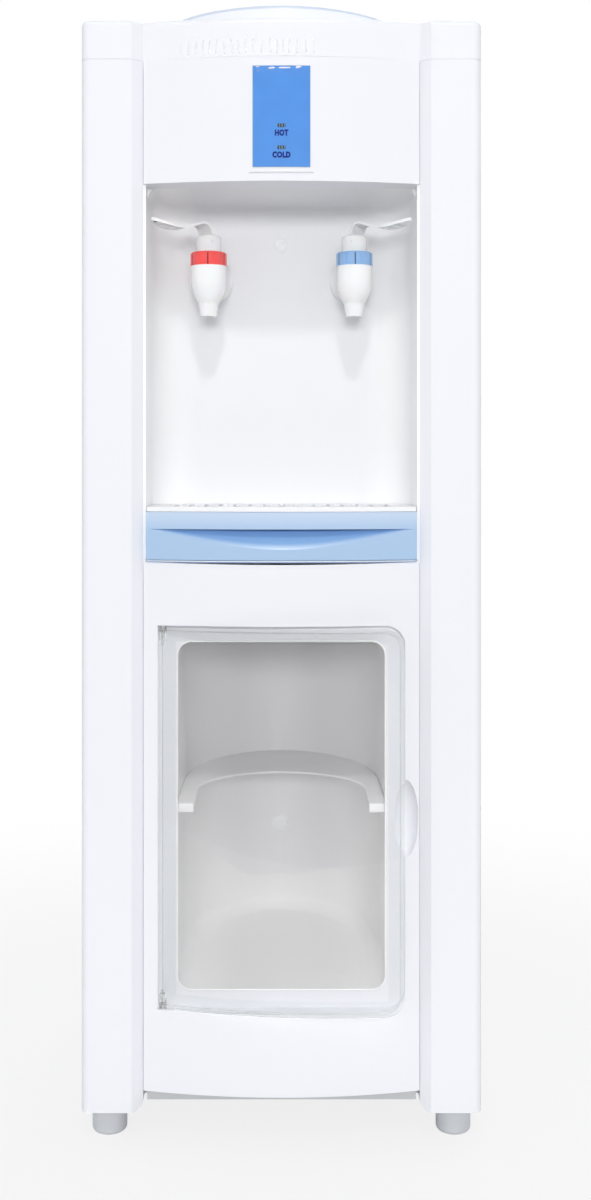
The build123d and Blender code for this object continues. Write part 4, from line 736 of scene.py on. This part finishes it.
class DISPENSER_OT_indicator(DispenserOperator):
    """Finish the indicator and print the words under its lamps"""
    bl_idname = "dispenser.indicator"
    bl_label = "Indicator"

    def execute(self, context):
        colours = self.colours
        low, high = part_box("indicator_sheet")
        give(plastic("plate_white", colours.panel, 0.3, coat=0.2), "indicator_plate")
        give(sheet_print("sheet_blue", colours.sheet, low, high), "indicator_sheet")
        give(lamp_lens("lens_grey", (0.17, 0.25, 0.33)), "indicator_lenses")
        give(circuit_board("board_green", (0.01, 0.09, 0.035)), "indicator_board")
        ink = plastic("word_ink", colours.words, 0.4)
        lens_low, lens_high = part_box("indicator_lenses")
        self.add_word("HOT", 11.4 * MM, lens_high.z - LENS_HALF - WORD_DROP, low.y, ink)
        self.add_word("COLD", 15.3 * MM, lens_low.z + LENS_HALF - WORD_DROP, low.y, ink)
        self.add_creases(low, high)
        return {"FINISHED"}

    def add_creases(self, low, high):
        """The creases that the sheet's film has along its top edge."""
        bottom = high.z - 7 * MM
        top = high.z - 0.4 * MM
        left = low.x + 1 * MM
        right = high.x - 1 * MM
        corners = Vector((left, low.y, bottom)), Vector((right, low.y, top))
        piece = film_grid("sheet_film", *corners, 230, 34)

        def crest(x, z):
            up = (z - bottom) / (top - bottom)
            fold = noise_3d.noise(Vector((x * 170, 1, z * 560)))
            line = smooth_step(up, 0.5, 0.92) * 0.75 + 0.25
            ends = smooth_step(x, left, left + 3 * MM) * smooth_step(-x, -right, 12 * MM - right)
            return smooth_step(fold, 0.02, 0.34) * line * ends * smooth_step(up, 0, 0.3)

        drape(piece, "indicator_sheet", lambda x, z: CREASE_GAP + CREASE_HEIGHT * crest(x, z))
        store_crests(piece, crest)
        settle(piece, film("sheet_film"), 180)

    def add_word(self, word, width, z, front, ink):
        """One word, cut from thin print on the sheet."""
        bpy.ops.object.select_all(action="DESELECT")
        bpy.ops.object.text_add(location=(0, front, z), rotation=(math.radians(90), 0, 0))
        text = bpy.context.object
        text.data.body = word
        text.data.align_x = "CENTER"
        text.data.align_y = "CENTER"
        text.data.size = self.trim.word_height / CAPITAL_SHARE
        text.data.offset = self.trim.word_weight
        text.data.space_character = WORD_SPACING
        text.data.extrude = self.trim.word_relief
        text.data.resolution_u = 4
        bpy.ops.object.convert(target="MESH")
        piece = start_piece(f"word_{word.lower()}", "root")
        bpy.context.view_layer.update()
        piece.scale.x = width / piece.dimensions.x
        settle(piece, ink)


STEPS_PER_TURN = 24
BLADE_ROOT = 7 * MM  # from the tap's axis out to where the blade starts
BLADE_ROUND = 0.6 * MM
GROOVE_EDGE = (0.35 * MM, 0.8 * MM)  # from a groove's middle line
GROOVE_END = (1.2 * MM, 1.8 * MM)  # below the ring nut's top


class DISPENSER_OT_taps(DispenserOperator):
    """Finish the taps, with softened edges on what the hand and eye meet"""
    bl_idname = "dispenser.taps"
    bl_label = "Taps"

    def execute(self, context):
        colours = self.colours
        white = plastic("tap_white", colours.tap, 0.25, coat=0.3, soft=0.35)
        rings = {"hot": self.grooved("hot", "ring_red", colours.hot_ring),
                 "cold": self.grooved("cold", "ring_blue", colours.cold_ring)}
        steel = metal("spring_steel", (0.6, 0.6, 0.62), 0.25)
        radius = self.trim.tap_round
        for side, ring in rings.items():
            for part in ("body", "cap"):
                piece = soft_copy(f"{side}_tap_{part}", f"{side}_{part}_soft", radius)
                settle(piece, white)
            settle(self.rimmed_lever(side), white)
            settle(soft_copy(f"{side}_tap_ring", f"{side}_ring_soft", radius / 3, 2), ring)
            give(rubber("stem_silicone", (0.75, 0.75, 0.72)), f"{side}_tap_stem")
            self.add_spring(side, steel)
        give(plastic("pin_white", (0.86, 0.87, 0.89), 0.35), "tap_lever_pins")
        give(plastic("nut_white", (0.8, 0.8, 0.8), 0.4), "tap_nuts")
        give(rubber("gasket_black", (0.03, 0.03, 0.03)), "tap_gaskets")
        return {"FINISHED"}

    def add_spring(self, side, steel):
        """The coil that closes the valve, in the place of its plain envelope.
        """
        node = f"{side}_tap_spring"
        low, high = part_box(node)
        middle = (low + high) / 2
        wire = self.trim.spring_wire
        radius = (high.x - low.x) / 2 - wire
        count = STEPS_PER_TURN * self.trim.spring_turns
        name = f"{side}_spring_coil"
        curve = bpy.data.curves.new(name, "CURVE")
        curve.dimensions = "3D"
        curve.bevel_depth = wire
        curve.bevel_resolution = 3
        curve.use_fill_caps = True
        line = curve.splines.new("POLY")
        line.points.add(count)
        for index in range(count + 1):
            share = index / count
            turn = 2 * math.pi * self.trim.spring_turns * share
            x = middle.x + radius * math.cos(turn)
            y = middle.y + radius * math.sin(turn)
            z = low.z + wire + share * (high.z - low.z - 2 * wire)
            line.points[index].co = (x, y, z, 1)
        bring(name, curve)
        bpy.ops.object.convert(target="MESH")
        piece = start_piece(name, "root")
        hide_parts(node)
        settle(piece, steel)
        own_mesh(piece)

    def grooved(self, side, name, colour):
        """The ring nut's plastic, with grip grooves down its side whose dark lines are painted shade.
        """
        material = plastic(name, colour, 0.3, coat=0.3)
        tree, shader, axes = open_finish(material)
        low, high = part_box(f"{side}_tap_ring")
        middle = (low + high) / 2
        step = 2 * math.pi / self.trim.ring_grooves
        across = calc(tree, "SUBTRACT", axes[0], middle.x)
        along = calc(tree, "SUBTRACT", axes[1], middle.y)
        turn = calc(tree, "PINGPONG", calc(tree, "ARCTAN2", across, along), step / 2)
        beside = calc(tree, "MULTIPLY", turn, (high.x - low.x) / 2)
        groove_shade = spread(tree, beside, *GROOVE_EDGE, 1, 0)
        inside = spread(tree, axes[2], *(high.z - end for end in GROOVE_END))
        groove_shade = calc(tree, "MULTIPLY", groove_shade, inside)
        # Painted shade in the grooves
        paint_over(tree, shader, groove_shade, shade(colour, 0.28))
        grain = shader.inputs["Normal"].links[0].from_socket
        relief(tree, shader, calc(tree, "SUBTRACT", 1.0, groove_shade), 0.0003, before=grain)
        return material

    def rimmed_lever(self, side):
        """The lever with a raised, rounded rim round its blade."""
        ring_low, ring_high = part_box(f"{side}_tap_ring")
        cap_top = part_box(f"{side}_tap_cap")[1].z
        axis = (ring_low + ring_high) / 2
        lever_low, lever_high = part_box(f"{side}_tap_lever")
        out_x = -1 if side == "hot" else 1
        tip = Vector((lever_low.x if out_x < 0 else lever_high.x, lever_low.y, 0))
        along = Vector((tip.x - axis.x, tip.y - axis.y, 0)).normalized()
        across = Vector((-along.y, along.x, 0))

        def on_blade(middle, normal):
            reach = (middle - axis).dot(along)
            flat = abs(normal.z) > 0.35 or reach < BLADE_ROOT
            return middle.z > cap_top + 0.3 * MM and flat and abs(normal.dot(across)) < 0.5

        piece = soft_copy(f"{side}_tap_lever", f"{side}_lever_soft", 0)
        bpy.ops.object.mode_set(mode="EDIT")
        select_faces(piece, on_blade)
        bpy.ops.mesh.inset(thickness=self.trim.lever_rim, depth=-self.trim.lever_channel,
                           use_even_offset=False)
        bpy.ops.object.mode_set(mode="OBJECT")
        modify(piece, "BEVEL", width=BLADE_ROUND, segments=3, angle_limit=math.radians(40),
               **ROUND_CORNERS)
        return piece


# How far each bead lies behind the tray's front and over its bottom, and its radius
LIP_BEAD = (0.4 * MM, 0.35 * MM, 0.45 * MM)
GAP_SHADE_BEAD = (1.1 * MM, -0.3 * MM, 0.55 * MM)
BEAD_END = 0.6 * MM
BEAD_STEPS = 60
SCOOP_DEPTH = (0.2 * MM, 3.2 * MM)  # behind the tray's front
SCOOP_HEIGHT = 18 * MM  # below the scoop's lip


class DISPENSER_OT_tray(DispenserOperator):
    """Finish the drip tray and its grille"""
    bl_idname = "dispenser.tray"
    bl_label = "Drip tray"

    def execute(self, context):
        give(self.tray_plastic(), "drip_tray")
        give(plastic("grille_white", self.colours.grille, 0.35), "tray_grille")
        # The bead's near-white colour is a painted highlight
        lip = self.bowed_bead("tray_lip", *LIP_BEAD)
        settle(lip, plastic("tray_lip", self.colours.tray_lip, 0.25, coat=0.3))
        # Painted shade: a strip that fills the gap under the tray with a blue that stands for its
        # shade
        gap_shade = self.bowed_bead("tray_apron", *GAP_SHADE_BEAD)
        settle(gap_shade, plastic("tray_apron", self.colours.gap_shade, 0.5))
        return {"FINISHED"}

    def bow_middle(self):
        """Where the axis of the front panels' bow lies in Y."""
        half = self.trim.bow_half
        rise = self.trim.bow_rise
        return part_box("upper_front_panel")[0].y + (half * half + rise * rise) / (2 * rise)

    def bowed_bead(self, name, behind, over, radius):
        """A round bead that follows the bow of the tray's front."""
        low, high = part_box("drip_tray")
        middle_y = self.bow_middle()
        reach = middle_y - (low.y + behind)
        half = high.x - BEAD_END
        points = []
        for index in range(BEAD_STEPS + 1):
            x = half * (2 * index / BEAD_STEPS - 1)
            points.append((x, middle_y - math.sqrt(reach * reach - x * x), low.z + over))
        mesh = bpy.data.meshes.new(name)
        mesh.from_pydata(points, [(index, index + 1) for index in range(BEAD_STEPS)], [])
        tube(bring(name, mesh), radius, 3)
        return start_piece(name, "drip_tray")

    def tray_plastic(self):
        """The tray's blue, with painted light that makes the top of its front paler, and painted shade
        that makes its finger scoop a deeper blue.
        """
        material = plastic("tray_blue", self.colours.tray, 0.3, 0.012, coat=0.2)
        tree, shader, axes = open_finish(material)
        low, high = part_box("drip_tray")
        middle_y = self.bow_middle()
        face = middle_y - low.y
        sides = axes[0], calc(tree, "SUBTRACT", axes[1], middle_y)
        squares = [calc(tree, "POWER", side, 2.0) for side in sides]
        behind = calc(tree, "SUBTRACT", face, calc(tree, "SQRT", calc(tree, "ADD", *squares)))
        inside = spread(tree, behind, *SCOOP_DEPTH)
        lip = low.z + self.trim.scoop_lip
        under = spread(tree, axes[2], lip + 0.4 * MM, lip - 0.4 * MM)
        above = spread(tree, axes[2], lip - SCOOP_HEIGHT, lip - SCOOP_HEIGHT + 1 * MM)
        scoop_shade_mask = calc(tree, "MULTIPLY", calc(tree, "MULTIPLY", inside, under), above)
        # Painted light on the upper front, and painted shade in the scoop under the lip
        rise = spread(tree, axes[2], lip - 4 * MM, high.z)
        paint_over(tree, shader, rise, self.colours.tray_top_light)
        paint_over(tree, shader, scoop_shade_mask, self.colours.scoop)
        return material


WINDOW_EDGE = 1.5 * MM
FRONT_FACING = -0.8  # the most that a front face's normal may have in Y


class DISPENSER_OT_door(DispenserOperator):
    """Finish the clear door and run the bead round the cabinet's opening"""
    bl_idname = "dispenser.door"
    bl_label = "Door"

    def execute(self, context):
        height, middle_z = self.opening()[1:]
        half = Vector((self.trim.opening_width / 2, 0, height / 2))
        window = (Vector((0, 0, middle_z)), half, WINDOW_EDGE)
        clear = clear_plastic("clear_door", self.colours.clear, self.colours.margin, window)
        give(clear, "door")
        give(plastic("hinge_white", (0.82, 0.82, 0.83), 0.3), "door_hinge_pins")
        self.add_rim()
        self.add_opening_lip()
        return {"FINISHED"}

    def opening(self):
        """The cabinet opening's bottom, height and middle height."""
        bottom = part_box("door")[0].z + self.trim.opening_rise
        height = self.trim.opening_height
        return bottom, height, bottom + height / 2

    def add_rim(self):
        """The moulded rim just inside the door's edge, drawn off its front face."""
        copy = merged_copy("door", "door_rim")
        select_faces(copy, lambda middle, normal: normal.y > FRONT_FACING)
        bpy.ops.mesh.delete(type="FACE")
        bpy.ops.mesh.select_all(action="SELECT")
        bpy.ops.mesh.dissolve_limited(angle_limit=math.radians(0.3))
        bpy.ops.mesh.select_all(action="SELECT")
        bpy.ops.mesh.inset(thickness=self.trim.rim_inset, use_boundary=True)
        bpy.ops.mesh.region_to_loop()
        bpy.ops.mesh.select_all(action="INVERT")
        bpy.ops.mesh.delete(type="EDGE")
        bpy.ops.object.mode_set(mode="OBJECT")
        for vertex in copy.data.vertices:
            vertex.co.y += self.trim.rim_radius
        tube(copy, self.trim.rim_radius)
        piece = start_piece("door_rim", "door")
        settle(piece, frame["nodes"]["door"].data.materials[0])

    def add_opening_lip(self):
        """The rounded bead round the cabinet's opening, near white as a painted highlight."""
        bottom, height, middle_z = self.opening()
        front = strike("lower_front_panel", (0, -1, bottom - 4 * MM)).y
        bpy.ops.object.select_all(action="DESELECT")
        bpy.ops.mesh.primitive_plane_add(size=1, location=(0, front, middle_z),
                                         rotation=(math.radians(90), 0, 0))
        plane = bpy.context.object
        plane.scale = (self.trim.opening_width, height, 1)
        apply_place()
        bpy.ops.object.mode_set(mode="EDIT")
        bpy.ops.mesh.select_all(action="SELECT")
        bpy.ops.mesh.bevel(offset=self.trim.opening_corner, segments=10, affect="VERTICES")
        bpy.ops.mesh.select_all(action="SELECT")
        bpy.ops.mesh.delete(type="ONLY_FACE")
        bpy.ops.object.mode_set(mode="OBJECT")
        tube(plane, self.trim.lip_radius)
        piece = start_piece("opening_lip", "root")
        # Near white, brighter than the panel round it: a painted highlight
        settle(piece, plastic("lip_white", (0.98, 0.98, 0.98), 0.2, coat=0.5))


MARK_RINGS = ((0.5, 0.0), (0.9, 0.9), (0.9, 0.0), (0.5, -0.9),
              (1.6, 0.0), (0.6, 0.7), (0.7, 0.0), (0.5, -0.7))  # width and rise of each, in mm
MARK_SINK = 0.15 * MM


class DISPENSER_OT_cabinet(DispenserOperator):
    """Finish the cabinet's tub and shelf, and mould the marks at its back and at the niche's"""
    bl_idname = "dispenser.cabinet"
    bl_label = "Cabinet"

    def execute(self, context):
        white = plastic("cabinet_white", self.colours.cabinet, 0.3, coat=0.2)
        floor_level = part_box("cabinet_liner")[0].z + 2 * MM
        # Painted light on the tub's lower part and floor, and on its sides
        painted_light_pool(white, self.trim.light_pool_level, floor_level, self.colours.cabinet_lit_foot)
        painted_side_light(white, *CABINET_LIT_SIDES)
        give(white, "cabinet_liner")
        settle(soft_copy("cabinet_shelf", "shelf_soft", 2 * MM, 4, 60), white)
        # The marks are paler than the linings: a painted highlight on their ridges
        bright = plastic("mark_white", (0.95, 0.955, 0.97), 0.25, coat=0.5)
        niche_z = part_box("niche_liner")[1].z - self.trim.niche_mark_drop
        self.add_gate_mark("cabinet", bright, -1.5 * MM, self.trim.mark_height, 1)
        self.add_gate_mark("niche", bright, -0.5 * MM, niche_z, 0.8)
        return {"FINISHED"}

    def add_gate_mark(self, lining, finish, x, z, size):
        """A disc with two ridges, moulded on a lining's back."""
        radius = self.trim.mark_radius * size
        bpy.ops.object.select_all(action="DESELECT")
        bpy.ops.mesh.primitive_circle_add(vertices=48, radius=radius, fill_type="NGON",
                                          location=(x, 0, z), rotation=(math.radians(90), 0, 0))
        apply_place()
        piece = start_piece(f"{lining}_gate_mark", "root")
        bpy.ops.object.mode_set(mode="EDIT")
        for width, height in MARK_RINGS:
            bpy.ops.mesh.inset(thickness=width * size * MM, depth=height * size * MM)
        bpy.ops.object.mode_set(mode="OBJECT")
        for vertex in piece.data.vertices:
            wall = strike(f"{lining}_liner", (vertex.co.x, -100 * MM, vertex.co.z)).y
            vertex.co.y += wall - MARK_SINK
        modify(piece, "SUBSURF", levels=1, render_levels=1)
        settle(piece, finish, 60)


COLLAR_WALL = (3.6 * MM, 2.6 * MM)  # below the collar's top


class DISPENSER_OT_bottle_seat(DispenserOperator):
    """Finish the bottle collar and the water separator"""
    bl_idname = "dispenser.bottle_seat"
    bl_label = "Bottle seat"

    def execute(self, context):
        give(self.collar_plastic(), "bottle_collar")
        give(plastic("separator_white", (0.8, 0.82, 0.86), 0.3, coat=0.2), "water_separator")
        return {"FINISHED"}

    def collar_plastic(self):
        """Near-white at the wall, turning blue at the rim."""
        material = plastic("collar_blue", self.colours.collar, 0.32, coat=0.2)
        tree, shader, axes = open_finish(material)
        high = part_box("bottle_collar")[1]
        wall = spread(tree, axes[2], *(high.z - end for end in COLLAR_WALL), 1, 0)
        paint_over(tree, shader, wall, self.colours.collar_wall)
        return material


class DISPENSER_OT_back(DispenserOperator):
    """Finish the back: sheet, screws, switches, gland and drain"""
    bl_idname = "dispenser.back"
    bl_label = "Back"

    def execute(self, context):
        give(plastic("back_white", (0.78, 0.79, 0.82), 0.45, 0.03, 0.00012), "back_panel")
        give(metal("screw_zinc", (0.6, 0.6, 0.58), 0.28), "back_panel_screws")
        black = plastic("switch_black", (0.02, 0.02, 0.022), 0.35)
        give(black, "switch_housings", "mains_gland")
        give(plastic("rocker_red", (0.55, 0.02, 0.02), 0.25, coat=0.3), "hot_switch")
        give(plastic("rocker_green", (0.02, 0.28, 0.07), 0.25, coat=0.3), "cold_switch")
        give(plastic("drain_white", (0.72, 0.73, 0.74), 0.4), "drain_pipe")
        give(plastic("drain_cap_black", (0.03, 0.03, 0.03), 0.5), "drain_cap")
        return {"FINISHED"}


class DISPENSER_OT_works(DispenserOperator):
    """Finish the cooling and heating works inside the casing"""
    bl_idname = "dispenser.works"
    bl_label = "Works"

    def execute(self, context):
        steel = metal("tank_steel", (0.62, 0.62, 0.63), 0.28, (1, 1, 8))
        give(steel, "cold_tank", "hot_tank")
        give(plastic("lid_white", (0.75, 0.76, 0.77), 0.4), "cold_tank_lid")
        give(foam("tank_foam", (0.72, 0.71, 0.66)), "tank_insulation")
        aluminium = metal("aluminium", (0.78, 0.78, 0.79), 0.35)
        give(aluminium, "cold_block", "heat_sink")
        give(plastic("module_ceramic", (0.85, 0.85, 0.83), 0.5), "cooling_module")
        give(plastic("fan_black", (0.018, 0.018, 0.02), 0.45), "fan_frame", "fan_rotor")
        give(spangled("bracket_zinc", (0.6, 0.61, 0.62)), "tank_brackets")
        give(metal("band_steel", (0.45, 0.43, 0.4), 0.4), "heater_band")
        give(plastic("thermostat_black", (0.03, 0.03, 0.035), 0.4), "thermostats")
        give(rubber("hose_silicone", (0.7, 0.7, 0.67)), "cold_hose", "hot_hose", "feed_hose")
        give(circuit_board("power_board_green", (0.012, 0.1, 0.04)), "power_board")
        return {"FINISHED"}


WHITE = (1, 1, 1, 1)
COLUMN_FRONT = -0.1546  # where the fronts of the side columns stand in Y
BODY_AIM = (0, 0, 0.55)
LEVEL_AIM = (0, COLUMN_FRONT, 1.02)  # as high as the two lamps in front, so that they shine level
SENSOR_WIDTH = 36
FLOOR_END = 6.0
FLOOR_GREY = (0.65, 0.65, 0.65, 1)
SKY = (0.97, 0.985, 1, 1)

# Name, place, aim, width, height, the stage's power for it, whether glossy parts mirror it
LAMPS = (
    ("strip_lamp", (0.02, COLUMN_FRONT - 2.8, 1.02), LEVEL_AIM, 6.5, 0.35, "strip_power", False),
    ("key_lamp", (0.02, COLUMN_FRONT - 3.0, 1.02), LEVEL_AIM, 0.6, 0.6, "key_power", False),
    ("top_lamp", (0.05, COLUMN_FRONT - 1.6, 2.3), BODY_AIM, 0.15, 0.15, "top_power", True),
    ("left_lamp", (-2.2, COLUMN_FRONT - 0.7, 1.0), BODY_AIM, 1.4, 1.4, "fill_power", True),
    ("right_lamp", (2.2, COLUMN_FRONT - 0.7, 1.2), BODY_AIM, 1.4, 1.4, "fill_power", True),
    ("back_lamp", (0.6, 2.4, 2.2), BODY_AIM, 1.8, 1.8, "back_power", True),
)


class DISPENSER_OT_stage(DispenserOperator):
    """Set up the floor, the backdrop light, the lamps and the camera"""
    bl_idname = "dispenser.stage"
    bl_label = "Stage"

    def execute(self, context):
        scene = context.scene
        stage = scene.dispenser_stage
        self.add_floor(stage)
        self.add_world(scene, stage)
        for lamp in LAMPS:
            self.add_lamp(stage, *lamp)
        self.add_camera(scene, stage)
        scene.view_settings.view_transform = "Standard"
        return {"FINISHED"}

    def add_floor(self, stage):
        """A white sheet of paper that runs a little before the object and far behind it."""
        bpy.ops.object.select_all(action="DESELECT")
        near = COLUMN_FRONT - stage.paper_reach
        bpy.ops.mesh.primitive_plane_add(size=1, location=(0, (near + FLOOR_END) / 2, 0))
        floor = bpy.context.object
        floor.name = "floor"
        floor.scale = (2 * FLOOR_END, FLOOR_END - near, 1)
        apply_place()
        material, tree, shader, spot = new_material("floor_paper")
        feed(tree, shader, {"Base Color": FLOOR_GREY, "Roughness": 0.7})
        relief(tree, shader, noise(tree, spot, 500, 3), 0.00003)
        reach = add(tree, "ShaderNodeVectorMath", {0: spot}, operation="LENGTH").outputs["Value"]
        seen = seen_rays(tree, "Is Transmission Ray", "Is Glossy Ray")
        white = calc(tree, "MULTIPLY", seen, spread(tree, reach, 0.3, 1.1, 0.82, 1))
        glow = add(tree, "ShaderNodeEmission", {"Color": WHITE, "Strength": 1})
        show(tree, mix_shaders(tree, white, shader, glow))
        floor.data.materials.append(material)

    def add_world(self, scene, stage):
        """White for the camera, even light for the object, a dimmer room before it to mirror."""
        world = bpy.data.worlds.new("studio")
        scene.world = world
        world.use_nodes = True
        tree = world.node_tree
        even = tree.nodes["Background"]
        direction = add(tree, "ShaderNodeTexCoord").outputs["Generated"]
        heading = add(tree, "ShaderNodeSeparateXYZ", {0: direction}).outputs
        low_share = spread(tree, heading[2], -0.2, 0.1, stage.low_level, 1)
        level = calc(tree, "MULTIPLY", low_share, stage.sky_level)
        feed(tree, even, {"Color": SKY, "Strength": level})
        level = spread(tree, heading[1], -0.35, 0.35, stage.room_level, 1)
        room = add(tree, "ShaderNodeBackground", {"Color": WHITE, "Strength": level})
        white = add(tree, "ShaderNodeBackground", {"Color": WHITE, "Strength": 1})
        glossy = add(tree, "ShaderNodeLightPath").outputs["Is Glossy Ray"]
        light = mix_shaders(tree, glossy, even, room)
        seen = seen_rays(tree, "Is Transmission Ray")
        show(tree, mix_shaders(tree, seen, light, white), "World Output")

    def add_lamp(self, stage, name, location, aim, width, height, power, glossy):
        """A soft lamp that points at aim and isn't seen itself."""
        data = bpy.data.lights.new(name, "AREA")
        data.shape = "RECTANGLE"
        data.size = width
        data.size_y = height
        data.energy = getattr(stage, power)
        lamp = bpy.data.objects.new(name, data)
        bpy.context.scene.collection.objects.link(lamp)
        lamp.location = location
        lamp.rotation_euler = (Vector(aim) - Vector(location)).to_track_quat("-Z", "Y").to_euler()
        lamp.visible_camera = False
        lamp.visible_transmission = False
        lamp.visible_glossy = glossy

    def add_camera(self, scene, stage):
        """The camera, level, at the photo's place."""
        data = bpy.data.cameras.new("camera")
        data.sensor_width = SENSOR_WIDTH
        data.lens = stage.focal_pixels / PHOTO_HEIGHT * SENSOR_WIDTH
        data.shift_x = (PHOTO_WIDTH / 2 - stage.axis_column) / PHOTO_HEIGHT
        data.shift_y = (stage.axis_row - PHOTO_HEIGHT / 2) / PHOTO_HEIGHT
        camera = bpy.data.objects.new("camera", data)
        scene.collection.objects.link(camera)
        camera.location.x = stage.camera_side
        camera.location.y = COLUMN_FRONT - stage.camera_distance
        camera.location.z = stage.camera_height
        camera.rotation_euler = (math.radians(90), 0, 0)
        scene.camera = camera


class DISPENSER_PT_panel(bpy.types.Panel):
    """The sidebar panel that lists the pieces and their values"""
    bl_idname = "DISPENSER_PT_panel"
    bl_label = "Water dispenser"
    bl_space_type = "VIEW_3D"
    bl_region_type = "UI"
    bl_category = "Dispenser"

    def draw(self, context):
        for operator in OPERATORS:
            self.layout.operator(operator.bl_idname)
        for name in GROUPS:
            group = getattr(context.scene, name)
            for key in group.bl_rna.properties.keys():
                if key not in ("rna_type", "name"):
                    self.layout.prop(group, key)


OPERATORS = (
    DISPENSER_OT_casing,
    DISPENSER_OT_cover_film,
    DISPENSER_OT_niche,
    DISPENSER_OT_indicator,
    DISPENSER_OT_taps,
    DISPENSER_OT_tray,
    DISPENSER_OT_door,
    DISPENSER_OT_cabinet,
    DISPENSER_OT_bottle_seat,
    DISPENSER_OT_back,
    DISPENSER_OT_works,
    DISPENSER_OT_stage,
)
GROUPS = {
    "dispenser_colours": DispenserColours,
    "dispenser_trim": DispenserTrim,
    "dispenser_stage": DispenserStage,
}


def register():
    for cls in (*GROUPS.values(), *OPERATORS, DISPENSER_PT_panel):
        bpy.utils.register_class(cls)
    for name, cls in GROUPS.items():
        setattr(bpy.types.Scene, name, PointerProperty(type=cls))


def unregister():
    for name in GROUPS:
        delattr(bpy.types.Scene, name)
    for cls in (DISPENSER_PT_panel, *reversed(OPERATORS), *GROUPS.values()):
        bpy.utils.unregister_class(cls)


def main():
    """Dress the model, piece by piece."""
    register()
    for operator in OPERATORS:
        getattr(bpy.ops.dispenser, operator.bl_idname.split(".")[1])()


if __name__ == "__main__":
    main()
